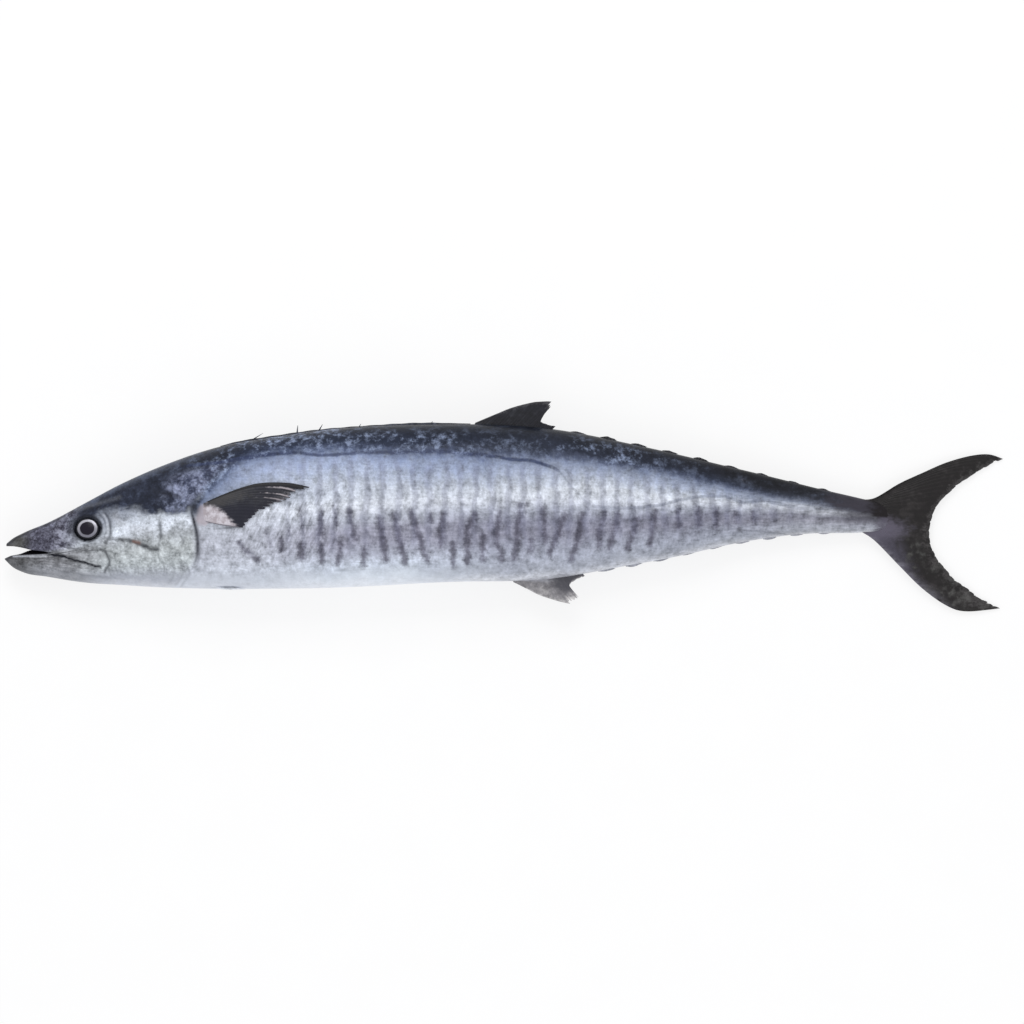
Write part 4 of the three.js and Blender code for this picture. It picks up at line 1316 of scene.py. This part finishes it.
dorsal_edge = [(0.02, 0.05), (0.28, 0.41), (0.46, 0.66), (0.65, 0.86), (0.79, 0.97)]
dorsal_edge += [(0.97, 1), (0.87, 0.56), (0.82, 0.25), (1, 0.13)]
dorsal_ray = fin_lines(
    SECOND_DORSAL_AT * LENGTH, SECOND_DORSAL_LENGTH, SECOND_DORSAL_HEIGHT, back_at, 1,
    [(0, -0.1), (0.33, -0.1), (0.66, -0.1), (0.93, -0.1)], dorsal_edge,
)
blade("second_dorsal_web", dorsal_ray, in_middle, dorsal_finish, count=240, ribs=26, fray=0.1,
      nick=1.0, fray_from=0.6, rib=0.08, replaces=["second_dorsal_fin"])
anal_edge = [(0.02, 0.05), (0.22, 0.33), (0.4, 0.59), (0.7, 0.91), (0.85, 1)]
anal_edge += [(0.93, 0.86), (0.81, 0.54), (0.8, 0.3), (1, 0.08)]
anal_ray = fin_lines(
    ANAL_AT * LENGTH, ANAL_LENGTH, ANAL_HEIGHT, belly_at, -1,
    [(0, -0.1), (0.33, -0.1), (0.66, -0.1), (0.95, -0.1)], anal_edge,
)
blade("anal_web", anal_ray, in_middle, anal_finish(), count=200, ribs=22, fray=0.12, nick=1.0,
      fray_from=0.45, rib=0.08, replaces=["anal_fin"])

# %% [markdown]
# ## First dorsal fin
#
# The spiny first dorsal folds down into a groove, so only a low ridge shows, with a few spines that stand
# loose. The ridge is a blade along the back, and each spine a tapered tube.

# %% First dorsal fin
FIRST_DORSAL_AT, DORSAL_SPACE = 0.243, 3.0
FIRST_DORSAL_HEIGHT, FIRST_DORSAL_SPINE, GAP = 1.2, 8.0, 0.3
SPINES = [  # place along the fin, height, lean, radius at the foot
    (0.115, 0.9, 1.9, 1.7), (0.306, 1, 0.1, 1.0), (0.39, 0.8, 0.7, 1.1), (0.55, 0.4, 0.9, 1.0),
    (0.84, 0.3, 0.8, 1.0),
]
fold_from = FIRST_DORSAL_AT * LENGTH
fold_to = SECOND_DORSAL_AT * LENGTH - DORSAL_SPACE


def folded_ray(u, v):
    """From under the back's outline up to a low ridge, which two sines make uneven."""
    s = fold_from + (fold_to - fold_from) * u
    ridge_height = FIRST_DORSAL_HEIGHT * soft_step(u, 0, 0.08) * (1 - soft_step(u, 0.8, 1))
    top = GAP + 0.2 + ridge_height * (0.55 + 0.3 * np.sin(u * 47) * np.sin(u * 31))
    return np.stack([s, back_at(s) - FIN_ROOT + (top + FIN_ROOT) * v], axis=-1)


folded = plain_fin(
    "folded_web", tone(44, 47, 58), tone(84, 88, 100), tone(34, 37, 47), tone(84, 88, 100), count=44
)
blade("first_dorsal_web", folded_ray, in_middle, folded, count=400, steps=8, ribs=44, rib=0.3,
      fray=0.0, replaces=["first_dorsal_fin"])


def spine_points(share, high, lean, foot_radius, around=12, rings=14):
    """A tube round a leaning line, its radius falling evenly to a quarter of a millimetre."""
    s0 = fold_from + (fold_to - fold_from) * share
    reach = FIRST_DORSAL_SPINE * high
    v = np.linspace(0, 1, rings)[:, None]
    angle = np.linspace(0, 2 * np.pi, around, endpoint=False)[None, :]
    radius = foot_radius + (0.25 - foot_radius) * v
    s = s0 + v * reach * lean + radius * np.cos(angle)
    h = back_at(s0) - 1.2 + (reach + 1.2) * v + 0 * angle
    grid = in_middle(s, h, radius * np.sin(angle)).reshape(-1, 3)
    tip = in_middle(s0 + reach * lean, back_at(s0) + reach + 0.2, 0.0)
    foot = in_middle(s0, back_at(s0) - 1.4, 0.0)
    points = np.concatenate([grid, [foot, tip]])
    return points, [squares(rings, around, True), *end_caps(rings, around)], {"ray": 0.3, "reach": 0.4}


for number, spine in enumerate(SPINES, 1):
    points, parts, marks = spine_points(*spine)
    piece(f"loose_spine_{number}", points, parts, folded, ["first_dorsal_fin"], marks)
print(len(SPINES), "loose spines")

# %% [markdown]
# ## Tail fin
#
# The tail is stiff and deeply forked, as on every fast swimmer. Its rays fan out from the tail root and
# bow with the leading edge of each lobe. It is nearly black, paler and purple where the skin of the tail
# root runs out over it.

# %% Tail fin
TAIL_ROOT, TAIL_SPAN, TAIL_FORK, TAIL_AXIS = 0.963, 150.0, 74.0, -0.15
UPPER_LOBE = [(0.1, 0.48), (0.27, 0.67), (0.43, 0.81), (0.6, 0.95), (0.77, 1.04), (0.9, 1.06), (1, 1)]
LOWER_LOBE = [(0.1, -0.1), (0.27, -0.43), (0.43, -0.73), (0.6, -0.96), (0.74, -1.04), (0.98, -1)]
FORK = [(0.72, 0.86), (0.39, 0.64), (0.11, 0.38), (0, 0), (0.1, -0.32), (0.39, -0.63), (0.72, -0.87)]


def tail_height(share):
    """Height over the axis of a share of half the tail's span, from the tail's own middle."""
    return TAIL_AXIS * DEPTH + share * TAIL_SPAN / 2


tail_start = TAIL_ROOT * LENGTH
tail_deep = TAIL_TIP - TAIL_FORK
tail_high, tail_low = back_at(tail_start) - 1, belly_at(tail_start) + 1
upper = [(tail_start, tail_high)]
upper += [(tail_start + (TAIL_TIP - tail_start) * a, tail_height(b)) for a, b in UPPER_LOBE]
lower = [(tail_start, tail_low)]
lower += [(tail_start + (TAIL_TIP - tail_start) * a, tail_height(b)) for a, b in LOWER_LOBE]
tail_root = [
    (tail_start, tail_high), (tail_start + 14, tail_high - 7), (tail_start + 14, tail_low + 7),
    (tail_start, tail_low),
]
tail_edge = [upper[-1], *[(tail_deep + a * TAIL_FORK, tail_height(b)) for a, b in FORK], lower[-1]]
tail_ray = bowed_rays(curve(tail_root), curve(tail_edge), curve(upper), curve(lower))


def tail_finish():
    """Near black, lilac over the lower root, a grey leading edge and blotches below, and an oval of the
    tail root's own lilac where the skin runs out over the fin."""
    f, colour, height, rough = fin_finish(
        "tail_web", tone(25, 22, 23), tone(40, 37, 38), tone(19, 17, 19), tone(62, 60, 61), count=30,
        edge_from=0.9,
    )
    ray, reach = f.mark("ray"), f.mark("reach")
    mottle, streak = f.noise(7, 4, 0.6, offset=9.0), f.noise(3, 3, 0.6, stretch=(3, 1, 1), offset=1.0)
    is_lower = f.smooth(ray + mottle * 0.2, 0.5, 0.62)
    near_root = 1 - f.smooth(reach + mottle * 0.5, 0.2, 0.7)
    colour = f.mix(is_lower * near_root * 0.75, colour, tone(82, 79, 94))
    blotch = f.noise(14, 4, 0.6, offset=6.0)
    lead = f.smooth(ray + blotch * 0.16, 0.74, 0.98) * (1 - f.smooth(reach + blotch * 0.4, 0.4, 0.85))
    colour = f.mix(lead * f.smooth(streak + blotch, -0.4, 0.4) * 0.9, colour, tone(136, 134, 146))
    grey = f.smooth(blotch + mottle * 0.5, -0.02, 0.26) * f.smooth(reach, 0.3, 0.6) * is_lower
    colour = f.mix(grey * 0.55, colour, tone(96, 96, 95))
    along = (fish_place(f, "X", START) - (tail_start + 18)) * (1 / 30)
    across = (fish_place(f, "Y", AXIS) + 19) * (1 / 12)
    gap = f.node("Math", {"operation": "SQRT"}, {0: along * along + across * across})
    wedge = 1 - f.smooth(gap + mottle * 0.9 + streak * 0.8, 0.35, 1.35)
    colour = f.mix(wedge * 0.85, colour, tone(92, 88, 103))
    return close_fin(f, colour, height, rough)


blade("tail_web", tail_ray, in_middle, tail_finish(), count=260, steps=90, ribs=30, rib=0.22,
      fray=0.035, nick=0.6, replaces=["tail_fin"])

# %% [markdown]
# ## Pectoral and pelvic fins
#
# The pectoral fin lies back along the flank just behind the gill cover. Its root is a pale fleshy lobe
# that grows out of the skin, so the blade is let down onto the flank there. The small pelvic fins fold
# back along the belly.


# %% Pectoral fins
PECTORAL_STAND = 1.8
LEFT_SINK = 3.5  # how far the left fin's root is let down


def on_flank(side):
    """Places a fin's points just clear of the skin of one flank."""

    def place(s, h, t):
        return placed(s, h, flank_height(s, h, side) + side * PECTORAL_STAND + t)

    return place


def pectoral_at(points):
    """A curve through points given as shares of the fin's length and of its root's."""
    p = np.array(points, float)
    s = PECTORAL_AT * LENGTH + p[:, 0] * PECTORAL_LENGTH
    return curve(np.stack([s, PECTORAL_AXIS * DEPTH + p[:, 1] * PECTORAL_ROOT], axis=-1))


pectoral_edge = [(1, 1.75), (0.88, 1.15), (0.76, 0.75), (0.6, 0.3), (0.5, -0.3), (0.4, -0.95)]
pectoral_ray = bowed_rays(
    pectoral_at([(0, 0.5), (0.02, 0.1), (0.05, -0.5)]),
    pectoral_at(pectoral_edge),
    pectoral_at([(0, 0.5), (0.18, 1.1), (0.36, 1.63), (0.55, 2), (0.8, 2.03), (1, 1.75)]),
    pectoral_at([(0.05, -0.5), (0.22, -0.8), (0.4, -0.95)]),
)


def pectoral_finish():
    """Olive in front, navy behind, a paler web painted between the rays near the tip where light passes it,
    and a fleshy pale root.
    """
    f, colour, height, rough = fin_finish(
        "pectoral_web", tone(33, 34, 44), tone(48, 49, 56), tone(26, 28, 37), tone(90, 88, 94),
        count=15, edge_from=0.94,
    )
    ray, reach = f.mark("ray"), f.mark("reach")
    mottle = f.noise(5, 4, 0.6, offset=4.0)
    olive = (1 - f.smooth(ray + mottle * 0.6, 0.25, 0.6)) * (1 - f.smooth(reach + mottle * 0.5, 0.35, 0.75))
    colour = f.mix(olive * 0.75, colour, tone(66, 65, 66))
    navy = f.smooth(ray + mottle * 0.3, 0.4, 0.65) * f.smooth(reach, 0.2, 0.4)
    colour = f.mix(navy * 0.8, colour, tone(24, 25, 40))
    # Painted light: a paler, warmer web between the rays near the tip, where light passes the thin web.
    slot = f.node("Math", {"operation": "SINE"}, {0: (ray + mottle * 0.05) * (2 * np.pi * 8) + 2.2})
    painted_light_between_rays = f.smooth(slot, 0.5, 0.98) * f.smooth(reach + mottle * 0.6, 0.72, 0.94)
    painted_light_between_rays = painted_light_between_rays * (1 - f.smooth(ray, 0.3, 0.46))
    colour = f.mix(painted_light_between_rays * 0.8, colour, tone(176, 168, 174))
    colour = f.mix((1 - f.smooth(ray, 0.05, 0.12)) * 0.9, colour, tone(14, 14, 18))
    root = f.smooth(ray * ray * 0.8 + 0.06 - reach + mottle * 0.16, -0.07, 0.07)
    flesh = f.mix(f.smooth(mottle, -0.12, 0.12), tone(166, 158, 165), tone(202, 198, 207))
    flesh = f.mix(f.smooth(ray + mottle * 0.04, 0.95, 0.99) * 0.8, flesh, tone(62, 60, 72))
    colour = f.mix(root, colour, flesh)
    return close_fin(f, colour, height, rough, coat=0.1, coat_rough=0.25)


pectoral_material = pectoral_finish()
for side, name in ((1, "left_pectoral"), (-1, "right_pectoral")):
    sink = (lambda u, v: -LEFT_SINK * (1 - soft_step(v, 0.0, 0.26))) if side > 0 else None
    blade(name + "_web", pectoral_ray, on_flank(side), pectoral_material, count=150, steps=90,
          ribs=15, rib=0.08, fray=0.08, nick=1.2, replaces=[name + "_fin"], sink=sink,
          thick=FIN_ROOT if side > 0 else 1.4)

# %% [markdown]
# The pelvic fins lie against the belly, one on each side of its middle line, and their roots are let down
# into the skin.

# %% Pelvic fins
PELVIC_AT, PELVIC_TURN, PELVIC_LENGTH, PELVIC_ROOT = 0.232, 0.1, 34.0, 6.0
PELVIC_STAND, PELVIC_SINK = 1.0, 1.6
pelvic_material = plain_fin(
    "pelvic_web", tone(206, 211, 221), tone(216, 220, 229), tone(180, 185, 197), tone(222, 225, 232),
    count=6,
)
pelvic_ray = straight_rays(
    curve([(0, 0), (0.04 * PELVIC_LENGTH, PELVIC_ROOT)]),
    curve([(PELVIC_LENGTH, 0.55 * PELVIC_ROOT), (0.7 * PELVIC_LENGTH, 1.2 * PELVIC_ROOT)]),
)


def on_belly(side):
    """Places a fin's points on the belly, on one side of its middle line."""

    def place(along, across, t):
        s = PELVIC_AT * LENGTH + along
        turn = -np.pi / 2 + side * (PELVIC_TURN + across / (WIDTH / 2))
        h, z = skin(s, turn, PELVIC_STAND + t)
        return placed(s, h, z)

    return place


for side, name in ((1, "left_pelvic"), (-1, "right_pelvic")):
    blade(name + "_web", pelvic_ray, on_belly(side), pelvic_material, count=40, steps=30,
          ribs=6, rib=0.1, thick=1.2, replaces=[name + "_fin"],
          sink=lambda u, v: -PELVIC_SINK * (1 - soft_step(v, 0.0, 0.6)))

# %% [markdown]
# ## Finlets
#
# Between the last fins and the tail stand two rows of finlets, small swept flags that get smaller towards
# the tail. Each is a short blade on the back or the belly.

# %% Finlets
FINLETS, FINLET_LENGTH, FINLET_SPACE, LAST_FINLET = 9, 18.0, 13.0, 0.914
FINLET_TAPER = 0.72  # size of the last one, as a share of the first
DORSAL_FINLET_HEIGHT, ANAL_FINLET_HEIGHT = 4.2, 3.6
finlet_dark = plain_fin(
    "finlet_dark", tone(40, 40, 46), tone(60, 61, 68), tone(28, 29, 35), tone(70, 70, 77), count=5
)
finlet_pale = plain_fin(
    "finlet_pale", tone(160, 162, 172), tone(172, 174, 184), tone(146, 148, 159), tone(176, 178, 188),
    count=5,
)


def finlet_row(name, fin_end, high, surface, out, material):
    """Equal steps from just behind the fin in front to the last finlet, each smaller than the one before,
    and each worn down by its own random share."""
    for i, k in enumerate(np.linspace(0, 1, FINLETS)):
        shrink = 1 + (FINLET_TAPER - 1) * k
        s = fin_end + FINLET_SPACE + (LAST_FINLET * LENGTH - fin_end - FINLET_SPACE) * k
        worn = rng.uniform(0.6, 1.0)
        ray = fin_lines(
            s, FINLET_LENGTH * shrink, high * shrink * worn, surface, out,
            [(0, -0.4), (0.4, -0.4), (0.8, -0.4)], [(0.04, 0.1), (0.4, 0.62), (0.72, 0.5), (1, 0.12)],
        )
        blade(f"{name}_web_{i + 1}", ray, in_middle, material, count=40, steps=10, ribs=5, rib=0.15,
              fray=0.15, thick=1.6, replaces=[f"{name}_{i + 1}"])


finlet_row("dorsal_finlet", SECOND_DORSAL_AT * LENGTH + SECOND_DORSAL_LENGTH, DORSAL_FINLET_HEIGHT,
           back_at, 1, finlet_dark)
finlet_row("anal_finlet", ANAL_AT * LENGTH + ANAL_LENGTH, ANAL_FINLET_HEIGHT,
           belly_at, -1, finlet_pale)
print(2 * FINLETS, "finlets")
